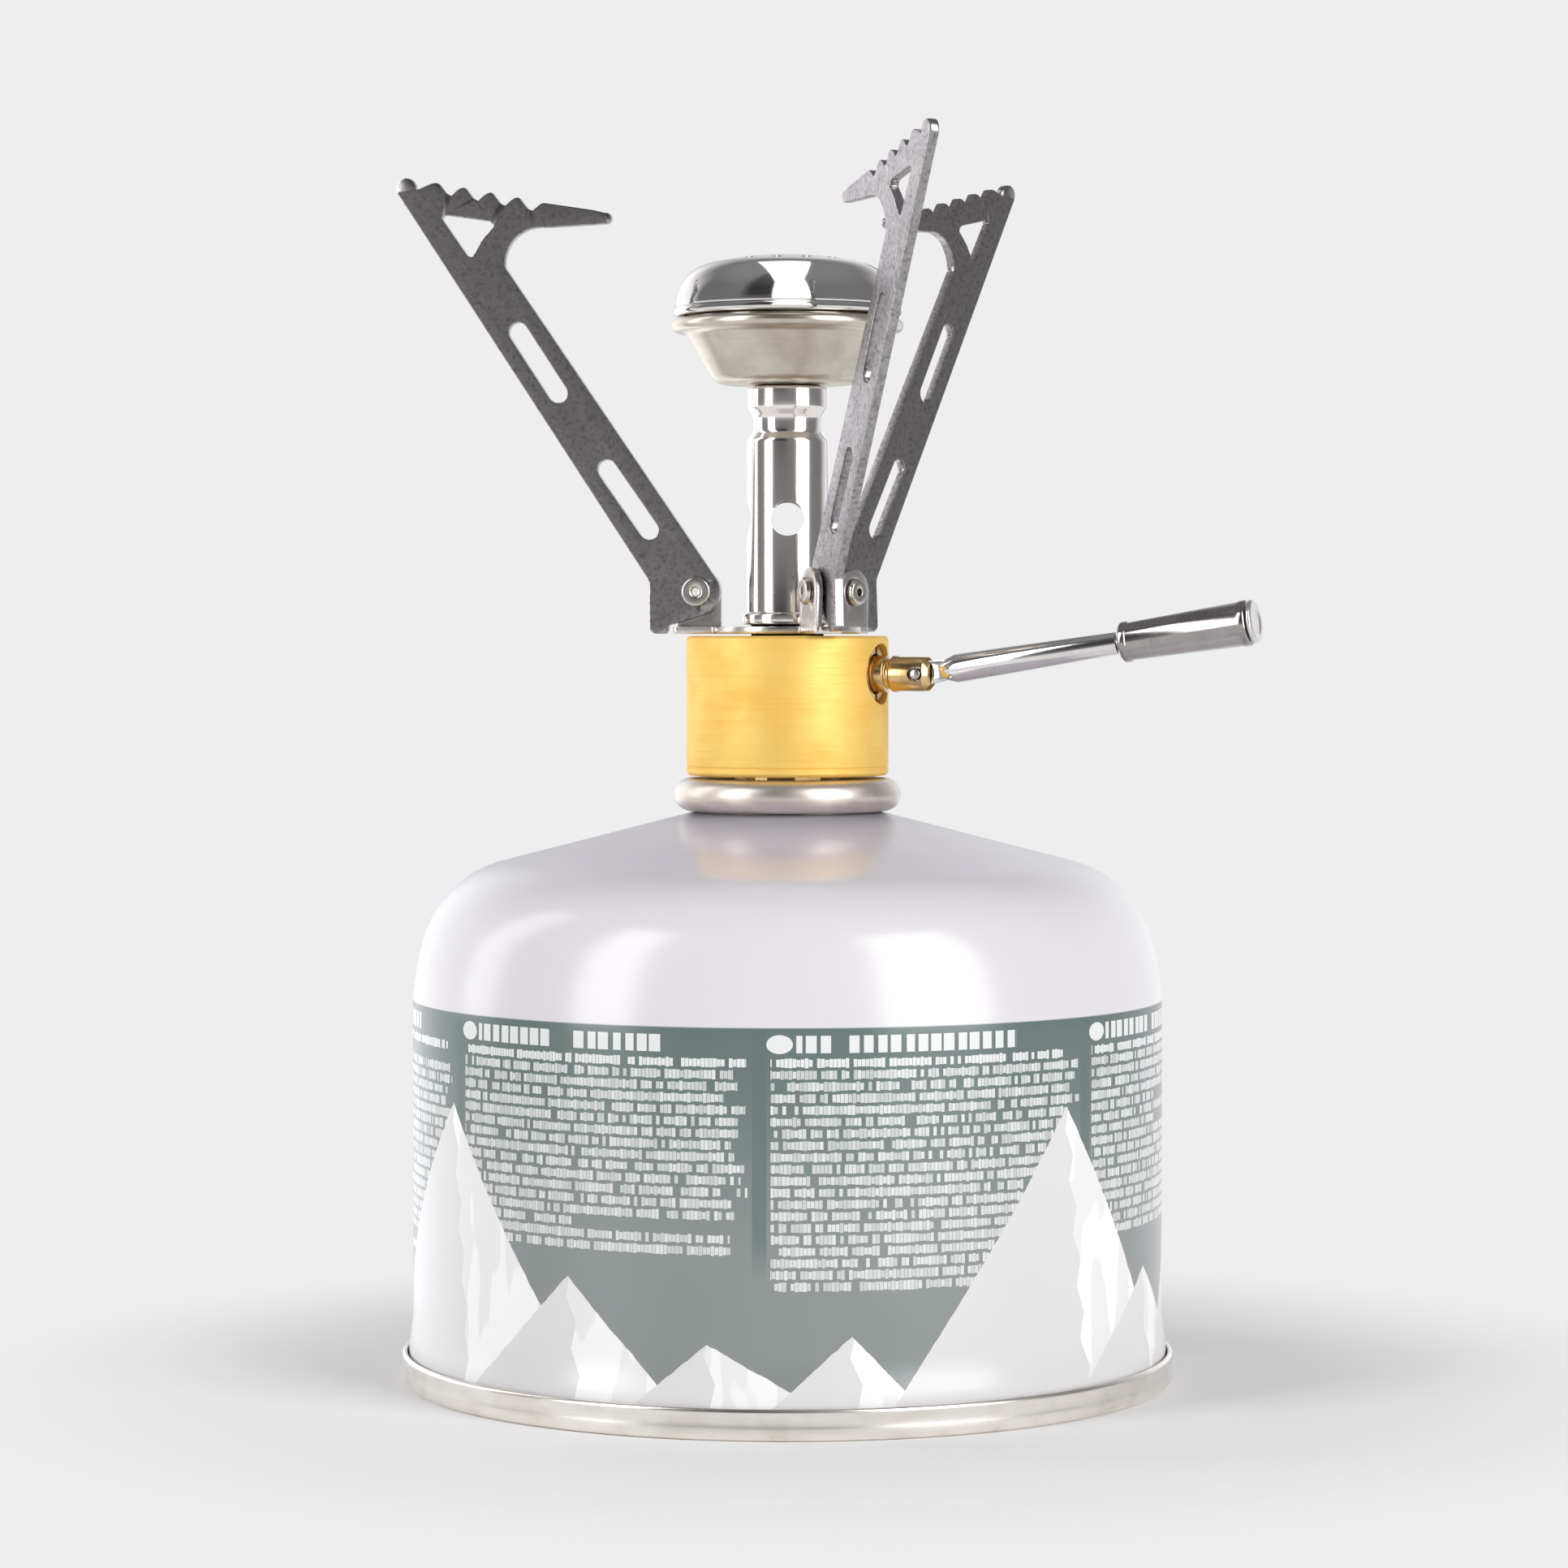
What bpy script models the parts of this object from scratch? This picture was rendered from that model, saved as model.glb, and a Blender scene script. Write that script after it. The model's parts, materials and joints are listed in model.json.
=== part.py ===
"""Canister-top gas stove screwed onto its gas cartridge, as separate pieces.

All sizes below are millimetres and become metres when a mesh is made. The
stove and the cartridge share one upright axis, on which the empty
`stove_axis` stands. The gas tap's spindle points along +X. The world origin
is the middle of the whole object's box, on the surface that it stands on.
"""
import math

import bmesh
import bpy
from mathutils import Matrix, Vector

MM = 0.001
GAP = 0.3  # left between faces that touch on the real stove

# Cartridge
SEAM_R = 55.2
SEAM_H = 4.4
SEAM_WALL = 0.7
WALL_R = SEAM_R - 1.6
SHEET = 0.6
FLARE_TOP = 10.0
SHOULDER_Z = 52.6
SHOULDER_R = 36.8
SHOULDER_SWEEP = 18.0
KNUCKLE_R = 15.2
CONE_SLOPE = 14.5
MOUTH_R = 13.2
BASE_RISE = 7.4

# Valve cup, boss and valve of the cartridge
CURL_R = 13.9
CURL_SECTION = 2.35
CUP_WALL_R = 12.6
CUP_DEPTH = 6.8
BOSS_R = 5.55
BOSS_TOP = 2.5
BOSS_NECK_R = 4.6
CHAMBER_R = 2.3
GASKET_H = 1.2
VALVE_STEM_R = 1.2
VALVE_TRAVEL = 1.5

# Gas tap body and what it holds
BODY_R = 14.45
BODY_H = 19.9
BODY_EDGE = 0.4
INSERT_R = 7.6
INSERT_H = 10.0
INSERT_ENGAGED = 5.6
SEAL_H = 1.4
OPENER_R = 1.2
JET_R = 1.9
JET_HEX_R = 2.6
PASSAGE_R = 1.2

# Bracket and pot arms
BRACKET_T = 1.0
BRACKET_R = 10.5
TAB_REACH = 16.4
TAB_HALF = 2.1
ARM_COUNT = 3
ARM_FIRST = 193.0
ARM_T = 1.4
ARM_PIVOT_R = 13.1
ARM_PIVOT_LIFT = 5.0
ARM_LEAN_IN = (0.0, 3.0, 3.0)
ARM_TIP = (42.6, 58.3)
ARM_TIP_R = 1.5
EAR_R = 3.3
RIVET_R = 1.2
RIVET_HEAD_R = 2.1
RIVET_HEAD_T = 0.6
RIVET_BORE_R = 0.6
SLOT_HALF = 1.4

# Burner
TUBE_R = 5.8
TUBE_WALL = 0.7
FLANGE_R = 6.4
FLANGE_T = 1.7
SPIGOT_R = 5.2
SPIGOT_DEPTH = 2.4
TUBE_LENGTH = 34.0
AIR_HOLE_R = 2.5
AIR_HOLE_UP = 15.1
AIR_HOLE_FIRST = -68.0
NECK_R = 4.9
NECK_BORE_R = 4.0
COLLAR_R = 5.7
CUP_SHEET = 0.8
CUP_FLOOR_R = 9.0
CUP_KNEE_R = 11.2
CUP_RIM_R = 14.5
CUP_HEIGHT = 7.0
LIP_R = 16.55
LIP_SECTION = 0.95
CAP_R = 16.35
CAP_SHOULDER = 4.9
CAP_CROWN_R = 51.0
CAP_SHEET = 0.8
SKIRT_R = 14.6
PORT_R = 0.8
PORT_RINGS = ((5.0, 8), (9.4, 14))

# Gas tap spindle and its folding handle
SPINDLE_Z_DOWN = 5.4
SPINDLE_R = 2.6
SPINDLE_END = 22.1
NEEDLE_R = 0.9
SEAL_POCKET_R = 3.9
SEAL_POCKET_X = BODY_R - 5.45
SEAT_X = SEAL_POCKET_X - 1.5
COUNTERBORE_R = 4.35
COUNTERBORE_DEPTH = 3.0
TAP_TRAVEL = 1.0
GLAND_T = 1.7
CLEVIS_SLOT = 2.0
CLEVIS_DEPTH = 5.3
HANDLE_PIN_R = 0.8
HANDLE_PIN_X = 20.3
HANDLE_TILT = 8.5
TONGUE_R = 1.8
ROD_START = 3.4
ROD_R = 2.05
ROD_END_R = 1.6
KNOB_START = 30.0
KNOB_END = 49.8
KNOB_R = 2.7
KNOB_END_R = 3.2
KNOB_BEVEL = 0.4

# Facets round a turned piece, by its size
BIG = 32
MIDDLE = 24
SMALL = 16
TINY = 12

# Heights that follow from the sizes above
knuckle_start = (WALL_R - SHOULDER_R + SHOULDER_R * math.cos(math.radians(SHOULDER_SWEEP)),
                 SHOULDER_Z + SHOULDER_R * math.sin(math.radians(SHOULDER_SWEEP)))
knuckle_centre = (knuckle_start[0] - KNUCKLE_R * math.cos(math.radians(SHOULDER_SWEEP)),
                  knuckle_start[1] - KNUCKLE_R * math.sin(math.radians(SHOULDER_SWEEP)))
cone_start = (knuckle_centre[0] + KNUCKLE_R * math.sin(math.radians(CONE_SLOPE)),
              knuckle_centre[1] + KNUCKLE_R * math.cos(math.radians(CONE_SLOPE)))
MOUTH_Z = cone_start[1] + (cone_start[0] - MOUTH_R) * math.tan(math.radians(CONE_SLOPE))
CURL_Z = MOUTH_Z + GAP + math.sqrt(CURL_SECTION ** 2 - (CURL_R - MOUTH_R) ** 2)
CURL_TOP = CURL_Z + CURL_SECTION
BOSS_TOP_Z = CURL_TOP + BOSS_TOP
CUP_FLOOR_Z = CURL_Z - CUP_DEPTH
BODY_Z = CURL_TOP + GAP
BODY_TOP = BODY_Z + BODY_H
SPINDLE_Z = BODY_TOP - SPINDLE_Z_DOWN
INSERT_Z = BOSS_TOP_Z - INSERT_ENGAGED
INSERT_TOP = INSERT_Z + INSERT_H
SEAL_Z = BOSS_TOP_Z + GAP
SHOULDER_IN_INSERT = SEAL_Z + SEAL_H + GAP
BRACKET_Z = BODY_TOP + GAP
BRACKET_TOP = BRACKET_Z + BRACKET_T
PIVOT_Z = BRACKET_TOP + ARM_PIVOT_LIFT
SPIGOT_Z = BODY_TOP - SPIGOT_DEPTH
FLANGE_Z = BRACKET_TOP + GAP
TUBE_TOP = FLANGE_Z + TUBE_LENGTH
CUP_Z = TUBE_TOP + GAP
LIP_Z = CUP_Z + CUP_HEIGHT + LIP_SECTION * 1.4
CAP_Z = LIP_Z + LIP_SECTION + GAP
GASKET_Z = BOSS_TOP_Z - 2.0
VALVE_FLANGE_Z = GASKET_Z - GAP - VALVE_TRAVEL

# The handle reaches further than the first arm, so the upright axis stands off centre
HANDLE_REACH = (HANDLE_PIN_X + KNOB_END * math.cos(math.radians(HANDLE_TILT))
                + (KNOB_END_R - KNOB_BEVEL) * math.sin(math.radians(HANDLE_TILT)))
ARM_REACH = ((ARM_PIVOT_R + ARM_TIP[0] + ARM_TIP_R) * -math.cos(math.radians(ARM_FIRST))
             + ARM_T / 2 * abs(math.sin(math.radians(ARM_FIRST))))
AXIS_X = (max(SEAM_R, ARM_REACH) - HANDLE_REACH) / 2


def clear_scene():
    """Remove every object of the scene that is open."""
    for thing in list(bpy.data.objects):
        bpy.data.objects.remove(thing, do_unlink=True)


def finish(name, colour, roughness, metallic):
    """Return a Principled material."""
    made = bpy.data.materials.new(name)
    made.use_nodes = True
    shader = made.node_tree.nodes["Principled BSDF"]
    shader.inputs["Base Color"].default_value = (*colour, 1.0)
    shader.inputs["Roughness"].default_value = roughness
    shader.inputs["Metallic"].default_value = metallic
    return made


def empty(name, parent=None, place=(0, 0, 0), turn=(0, 0, 0)):
    """Add an empty at a place in its parent's frame, turned by degrees."""
    made = bpy.data.objects.new(name, None)
    bpy.context.collection.objects.link(made)
    made.parent = parent
    made.location = Vector(place) * MM
    made.rotation_euler = [math.radians(angle) for angle in turn]
    return made


def add_object(name, bm, dress, parent, place=(0, 0, 0), turn=(0, 0, 0)):
    """Turn a millimetre bmesh into an object at a place under its parent."""
    bmesh.ops.remove_doubles(bm, verts=bm.verts, dist=1e-4)
    bmesh.ops.recalc_face_normals(bm, faces=bm.faces)
    bmesh.ops.scale(bm, vec=(MM, MM, MM), verts=bm.verts)
    mesh = bpy.data.meshes.new(name)
    bm.to_mesh(mesh)
    bm.free()
    mesh.shade_smooth()
    mesh.set_sharp_from_angle(angle=math.radians(32))
    mesh.materials.append(dress)
    made = bpy.data.objects.new(name, mesh)
    bpy.context.collection.objects.link(made)
    made.parent = parent
    made.location = Vector(place) * MM
    made.rotation_euler = [math.radians(angle) for angle in turn]
    return made


def arc(centre, radius, start, end, steps):
    """Points of an arc from a start angle to an end angle, in degrees."""
    points = []
    for step in range(steps + 1):
        angle = math.radians(start + (end - start) * step / steps)
        points.append((centre[0] + radius * math.cos(angle), centre[1] + radius * math.sin(angle)))
    return points


def turned(profile, segments):
    """Spin a profile of (radius, height) about Z: a loop, or a line that ends on the axis."""
    bm = bmesh.new()
    points = [bm.verts.new((radius, 0, height)) for radius, height in profile]
    edges = [bm.edges.new(pair) for pair in zip(points, points[1:])]
    if profile[0][0] > 1e-6:
        edges.append(bm.edges.new((points[-1], points[0])))
    bmesh.ops.spin(bm, geom=points + edges, cent=(0, 0, 0), axis=(0, 0, 1), dvec=(0, 0, 0),
                   angle=math.tau, steps=segments, use_merge=True)
    return bm


def laid_along_x(bm):
    """Turn a spun shape so that its axis runs along +X."""
    bmesh.ops.rotate(bm, cent=(0, 0, 0), matrix=Matrix.Rotation(math.radians(90), 3, "Y"), verts=bm.verts)
    return bm


def plate(outlines, thickness, upright):
    """Extrude a filled outline with holes; upright plates lie in XZ and are centred on Y."""
    bm = bmesh.new()
    edges = []
    for outline in outlines:
        points = [bm.verts.new((x, 0, y) if upright else (x, y, 0)) for x, y in outline]
        edges += [bm.edges.new(pair) for pair in zip(points, points[1:] + points[:1])]
    bmesh.ops.triangle_fill(bm, use_beauty=True, use_dissolve=False, edges=edges)
    grown = bmesh.ops.extrude_face_region(bm, geom=bm.faces[:])
    moved = [item for item in grown["geom"] if isinstance(item, bmesh.types.BMVert)]
    bmesh.ops.translate(bm, vec=(0, thickness, 0) if upright else (0, 0, thickness), verts=moved)
    if upright:
        bmesh.ops.translate(bm, vec=(0, -thickness / 2, 0), verts=bm.verts)
    return bm


def as_tool(tool):
    """Mark a cutter or a joined shape as a guide that isn't a piece itself."""
    tool.hide_render = True
    tool.display_type = "WIRE"
    return tool


def combine(target, tool, operation):
    """Add an exact Boolean of a guide to an object."""
    change = target.modifiers.new(tool.name, "BOOLEAN")
    change.operation = operation
    change.solver = "EXACT"
    change.object = as_tool(tool)


def stadium(start, end, half, steps):
    """Outline of a round-ended slot between two points."""
    lean = math.degrees(math.atan2(end[1] - start[1], end[0] - start[0]))
    return arc(start, half, lean + 90, lean + 270, steps) + arc(end, half, lean - 90, lean + 90, steps)


def make_cartridge(axis):
    """Cartridge: shell, base, valve cup, threaded boss and the valve inside it."""
    paint = finish("cartridge_paint", (0.80, 0.79, 0.84), 0.35, 0.0)
    tin = finish("tinplate", (0.62, 0.59, 0.56), 0.3, 1.0)
    satin = finish("satin_tin", (0.58, 0.55, 0.50), 0.38, 1.0)
    rubber = finish("valve_rubber", (0.03, 0.03, 0.03), 0.6, 0.0)
    spring_steel = finish("spring_steel", (0.5, 0.5, 0.5), 0.3, 1.0)
    slope = 90 - CONE_SLOPE

    def dome(inset, steps):
        """Dome from the straight wall to the mouth, set in by a sheet thickness."""
        big = arc((WALL_R - SHOULDER_R, SHOULDER_Z), SHOULDER_R - inset, 0, SHOULDER_SWEEP, steps)
        tight = arc(knuckle_centre, KNUCKLE_R - inset, SHOULDER_SWEEP, slope, steps + 3)
        drop = inset / math.cos(math.radians(CONE_SLOPE))
        return big + tight[1:] + [(MOUTH_R, MOUTH_Z - drop)]

    hem_r = SEAM_R - SEAM_WALL - GAP
    hem = [(hem_r, 2 * SHEET + 0.5), (hem_r, SEAM_H + 0.6), (WALL_R, FLARE_TOP)]
    hem_inside = [(radius - SHEET, height) for radius, height in reversed(hem)]
    shell = hem + dome(0, 3) + dome(SHEET, 1)[::-1] + hem_inside
    add_object("cartridge_shell", turned(shell, BIG), paint, axis)

    inner_r = hem_r - SHEET - GAP
    chime_in = inner_r - SHEET
    floor_lift = SEAM_H + SHEET
    dish_r = chime_in - 2.5
    dish_start = math.degrees(math.atan2(BASE_RISE, dish_r))
    bowl_r = (dish_r ** 2 + BASE_RISE ** 2) / (2 * BASE_RISE)
    bowl_sweep = 2 * dish_start
    dish_z = floor_lift + 1.2
    under = arc((0, dish_z + BASE_RISE - bowl_r), bowl_r, 90 - bowl_sweep, 90, 4)
    above = [(radius, height + SHEET) for radius, height in reversed(under)]
    rim = [(SEAM_R - 0.2, SEAM_H - 0.4), (SEAM_R - SEAM_WALL / 2, SEAM_H), (SEAM_R - SEAM_WALL, SEAM_H - 0.3)]
    chime = [(SEAM_R - SEAM_WALL, SHEET + 0.8), (inner_r, SHEET + 0.8), (inner_r, floor_lift)]
    foot = [(chime_in, floor_lift - SHEET), (chime_in, 0.4), (chime_in + 0.3, 0), (SEAM_R - 0.6, 0),
            (SEAM_R - 0.15, 0.5), (SEAM_R, 1.2), (SEAM_R, SEAM_H - 1.0)]
    base = above + chime[::-1] + rim[::-1] + foot[::-1] + under
    add_object("cartridge_base", turned(base, BIG), tin, axis)

    wall_low = -math.degrees(math.acos((CURL_R - CUP_WALL_R) / CURL_SECTION))
    bead = arc((CURL_R, CURL_Z), CURL_SECTION, -180 - wall_low, 205, 10)
    wall_in = CUP_WALL_R - SHEET
    hole_r = BOSS_NECK_R + GAP
    cup = [(hole_r, CUP_FLOOR_Z - SHEET), (CUP_WALL_R - 0.4, CUP_FLOOR_Z - SHEET),
           (CUP_WALL_R, CUP_FLOOR_Z - 0.2)]
    cup += bead + [(wall_in, CURL_Z - 1.7), (wall_in, CUP_FLOOR_Z + 0.2), (wall_in - 0.2, CUP_FLOOR_Z)]
    add_object("cartridge_valve_cup", turned(cup + [(hole_r, CUP_FLOOR_Z)], MIDDLE), satin, axis)

    neck_z = CUP_FLOOR_Z - SHEET - 6.0
    pocket_z = GASKET_Z - GAP
    boss = [(BOSS_NECK_R, neck_z), (BOSS_NECK_R, CUP_FLOOR_Z + GAP), (BOSS_R, CUP_FLOOR_Z + GAP),
            (BOSS_R, BOSS_TOP_Z - 0.5), (BOSS_R - 0.5, BOSS_TOP_Z), (CHAMBER_R + 1.0, BOSS_TOP_Z),
            (CHAMBER_R + 1.0, pocket_z), (CHAMBER_R, pocket_z), (CHAMBER_R, neck_z + 1.0),
            (VALVE_STEM_R, neck_z + 1.0), (VALVE_STEM_R, neck_z)]
    add_object("cartridge_valve_boss", turned(boss, MIDDLE), satin, axis)

    gasket_in = VALVE_STEM_R + GAP
    gasket_out = CHAMBER_R + 1.0 - GAP
    gasket = [(gasket_in, GASKET_Z), (gasket_out, GASKET_Z), (gasket_out, GASKET_Z + GASKET_H),
              (gasket_in, GASKET_Z + GASKET_H)]
    add_object("cartridge_valve_gasket", turned(gasket, SMALL), rubber, axis)

    top = GASKET_Z - 2 * GAP
    flange_r = CHAMBER_R - GAP
    tail_r = VALVE_STEM_R - 0.2
    pin = [(0, VALVE_FLANGE_Z - 9.0), (tail_r, VALVE_FLANGE_Z - 9.0), (tail_r, VALVE_FLANGE_Z - 1.0),
           (flange_r, VALVE_FLANGE_Z - 1.0), (flange_r, VALVE_FLANGE_Z), (VALVE_STEM_R, VALVE_FLANGE_Z),
           (VALVE_STEM_R, top), (0, top)]
    add_object("cartridge_valve_pin", turned(pin, SMALL), satin, axis)

    add_object("cartridge_valve_spring", coil_spring(neck_z + 1.0 + GAP, VALVE_FLANGE_Z - 1.0 - GAP),
               spring_steel, axis)


def coil_spring(low, high):
    """Closed tube along a helix between the valve pin's tail and its chamber's wall."""
    wire = 0.25
    turns = 4
    per_turn = 10
    sides = 5
    middle = (CHAMBER_R - GAP + VALVE_STEM_R - 0.2 + GAP) / 2
    start = low + wire
    pitch = (high - low - 2 * wire) / turns
    slope = math.atan2(pitch, math.tau * middle)
    bm = bmesh.new()
    rings = []
    for step in range(turns * per_turn + 1):
        angle = math.tau * step / per_turn
        spot = Matrix.Translation((0, 0, start + pitch * step / per_turn)) @ Matrix.Rotation(angle, 4, "Z")
        spot = spot @ Matrix.Translation((middle, 0, 0)) @ Matrix.Rotation(slope, 4, "X")
        ring = []
        for side in range(sides):
            turn = math.tau * side / sides
            ring.append(bm.verts.new(spot @ Vector((wire * math.cos(turn), 0, wire * math.sin(turn)))))
        rings.append([bm.edges.new((ring[side - 1], ring[side])) for side in range(sides)])
    for near, far in zip(rings, rings[1:]):
        bmesh.ops.bridge_loops(bm, edges=near + far)
    for ring in (rings[0], rings[-1]):
        bmesh.ops.contextual_create(bm, geom=ring)
    return bm


def make_inlet(axis):
    """Threaded insert, its rubber seal, the pin that opens the cartridge, and the filter."""
    brass = finish("inlet_brass", (0.72, 0.52, 0.22), 0.3, 1.0)
    rubber = finish("inlet_rubber", (0.03, 0.03, 0.03), 0.6, 0.0)
    steel = finish("opener_steel", (0.6, 0.6, 0.6), 0.3, 1.0)
    sintered = finish("sintered_bronze", (0.5, 0.35, 0.2), 0.7, 1.0)
    bore_r = BOSS_R + GAP
    pocket_r = 3.4
    pocket_z = SHOULDER_IN_INSERT + 0.7
    insert = [(bore_r, INSERT_Z), (INSERT_R, INSERT_Z), (INSERT_R, INSERT_TOP), (pocket_r, INSERT_TOP),
              (pocket_r, pocket_z), (OPENER_R + GAP, pocket_z), (OPENER_R + GAP, SHOULDER_IN_INSERT),
              (bore_r, SHOULDER_IN_INSERT)]
    add_object("inlet_insert", turned(insert, MIDDLE), brass, axis)

    seal_in = OPENER_R + 2 * GAP
    seal_out = BOSS_R - 0.1
    bulge = 0.1
    seal = [(seal_in, SEAL_Z), (seal_out, SEAL_Z), (seal_out + bulge, SEAL_Z + SEAL_H / 2),
            (seal_out, SEAL_Z + SEAL_H), (seal_in, SEAL_Z + SEAL_H)]
    add_object("inlet_seal", turned(seal, SMALL), rubber, axis)

    flange_z = pocket_z + GAP
    flange_r = pocket_r - GAP
    flange_t = 0.5
    bore = 0.5
    opener = [(bore, GASKET_Z - GAP), (OPENER_R, GASKET_Z - GAP), (OPENER_R, flange_z), (flange_r, flange_z),
              (flange_r, flange_z + flange_t), (bore, flange_z + flange_t)]
    add_object("opener_pin", turned(opener, SMALL), steel, axis)

    disc_z = flange_z + flange_t + GAP
    disc = [(0, disc_z), (flange_r, disc_z), (flange_r, disc_z + 0.4), (0, disc_z + 0.4)]
    add_object("inlet_filter", turned(disc, SMALL), sintered, axis)


def make_tap_body(axis):
    """Anodised tap body with its bores, and the gas jet screwed into its top."""
    gold = finish("gold_anodised", (0.86, 0.56, 0.10), 0.38, 1.0)
    brass = finish("jet_brass", (0.72, 0.52, 0.22), 0.28, 1.0)
    bore_r = INSERT_R + GAP
    bore_top = INSERT_TOP + GAP
    socket_r = SPIGOT_R + GAP
    socket_z = SPIGOT_Z - GAP
    jet_seat = SPINDLE_Z + PASSAGE_R
    body = [(bore_r, BODY_Z), (BODY_R - BODY_EDGE, BODY_Z), (BODY_R, BODY_Z + BODY_EDGE),
            (BODY_R, BODY_TOP - BODY_EDGE), (BODY_R - BODY_EDGE, BODY_TOP), (socket_r, BODY_TOP),
            (socket_r, socket_z), (JET_R + GAP, socket_z), (JET_R + GAP, jet_seat), (PASSAGE_R, jet_seat),
            (PASSAGE_R, bore_top), (bore_r, bore_top)]
    made = add_object("valve_body", turned(body, BIG), gold, axis)
    step_x = BODY_R - COUNTERBORE_DEPTH
    way = [(0, -0.5), (PASSAGE_R, -0.5), (PASSAGE_R, SEAT_X), (SPINDLE_R + GAP, SEAT_X),
           (SPINDLE_R + GAP, SEAL_POCKET_X), (SEAL_POCKET_R, SEAL_POCKET_X), (SEAL_POCKET_R, step_x),
           (COUNTERBORE_R, step_x), (COUNTERBORE_R, BODY_R + 2), (0, BODY_R + 2)]
    combine(made, add_object("spindle_way", laid_along_x(turned(way, SMALL)), gold, axis,
                             place=(0, 0, SPINDLE_Z)), "DIFFERENCE")

    thread_z = jet_seat + GAP
    hex_z = socket_z + GAP
    hex_top = hex_z + 3.4
    orifice = 0.25
    bore = 0.9
    jet = [(bore, thread_z), (JET_R, thread_z), (JET_R, hex_z), (JET_HEX_R, hex_z), (JET_HEX_R, hex_top),
           (JET_HEX_R - 1.1, hex_top + 1.4), (orifice, hex_top + 1.4), (orifice, hex_top), (bore, hex_top)]
    add_object("gas_jet", turned(jet, TINY), brass, axis)


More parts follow.
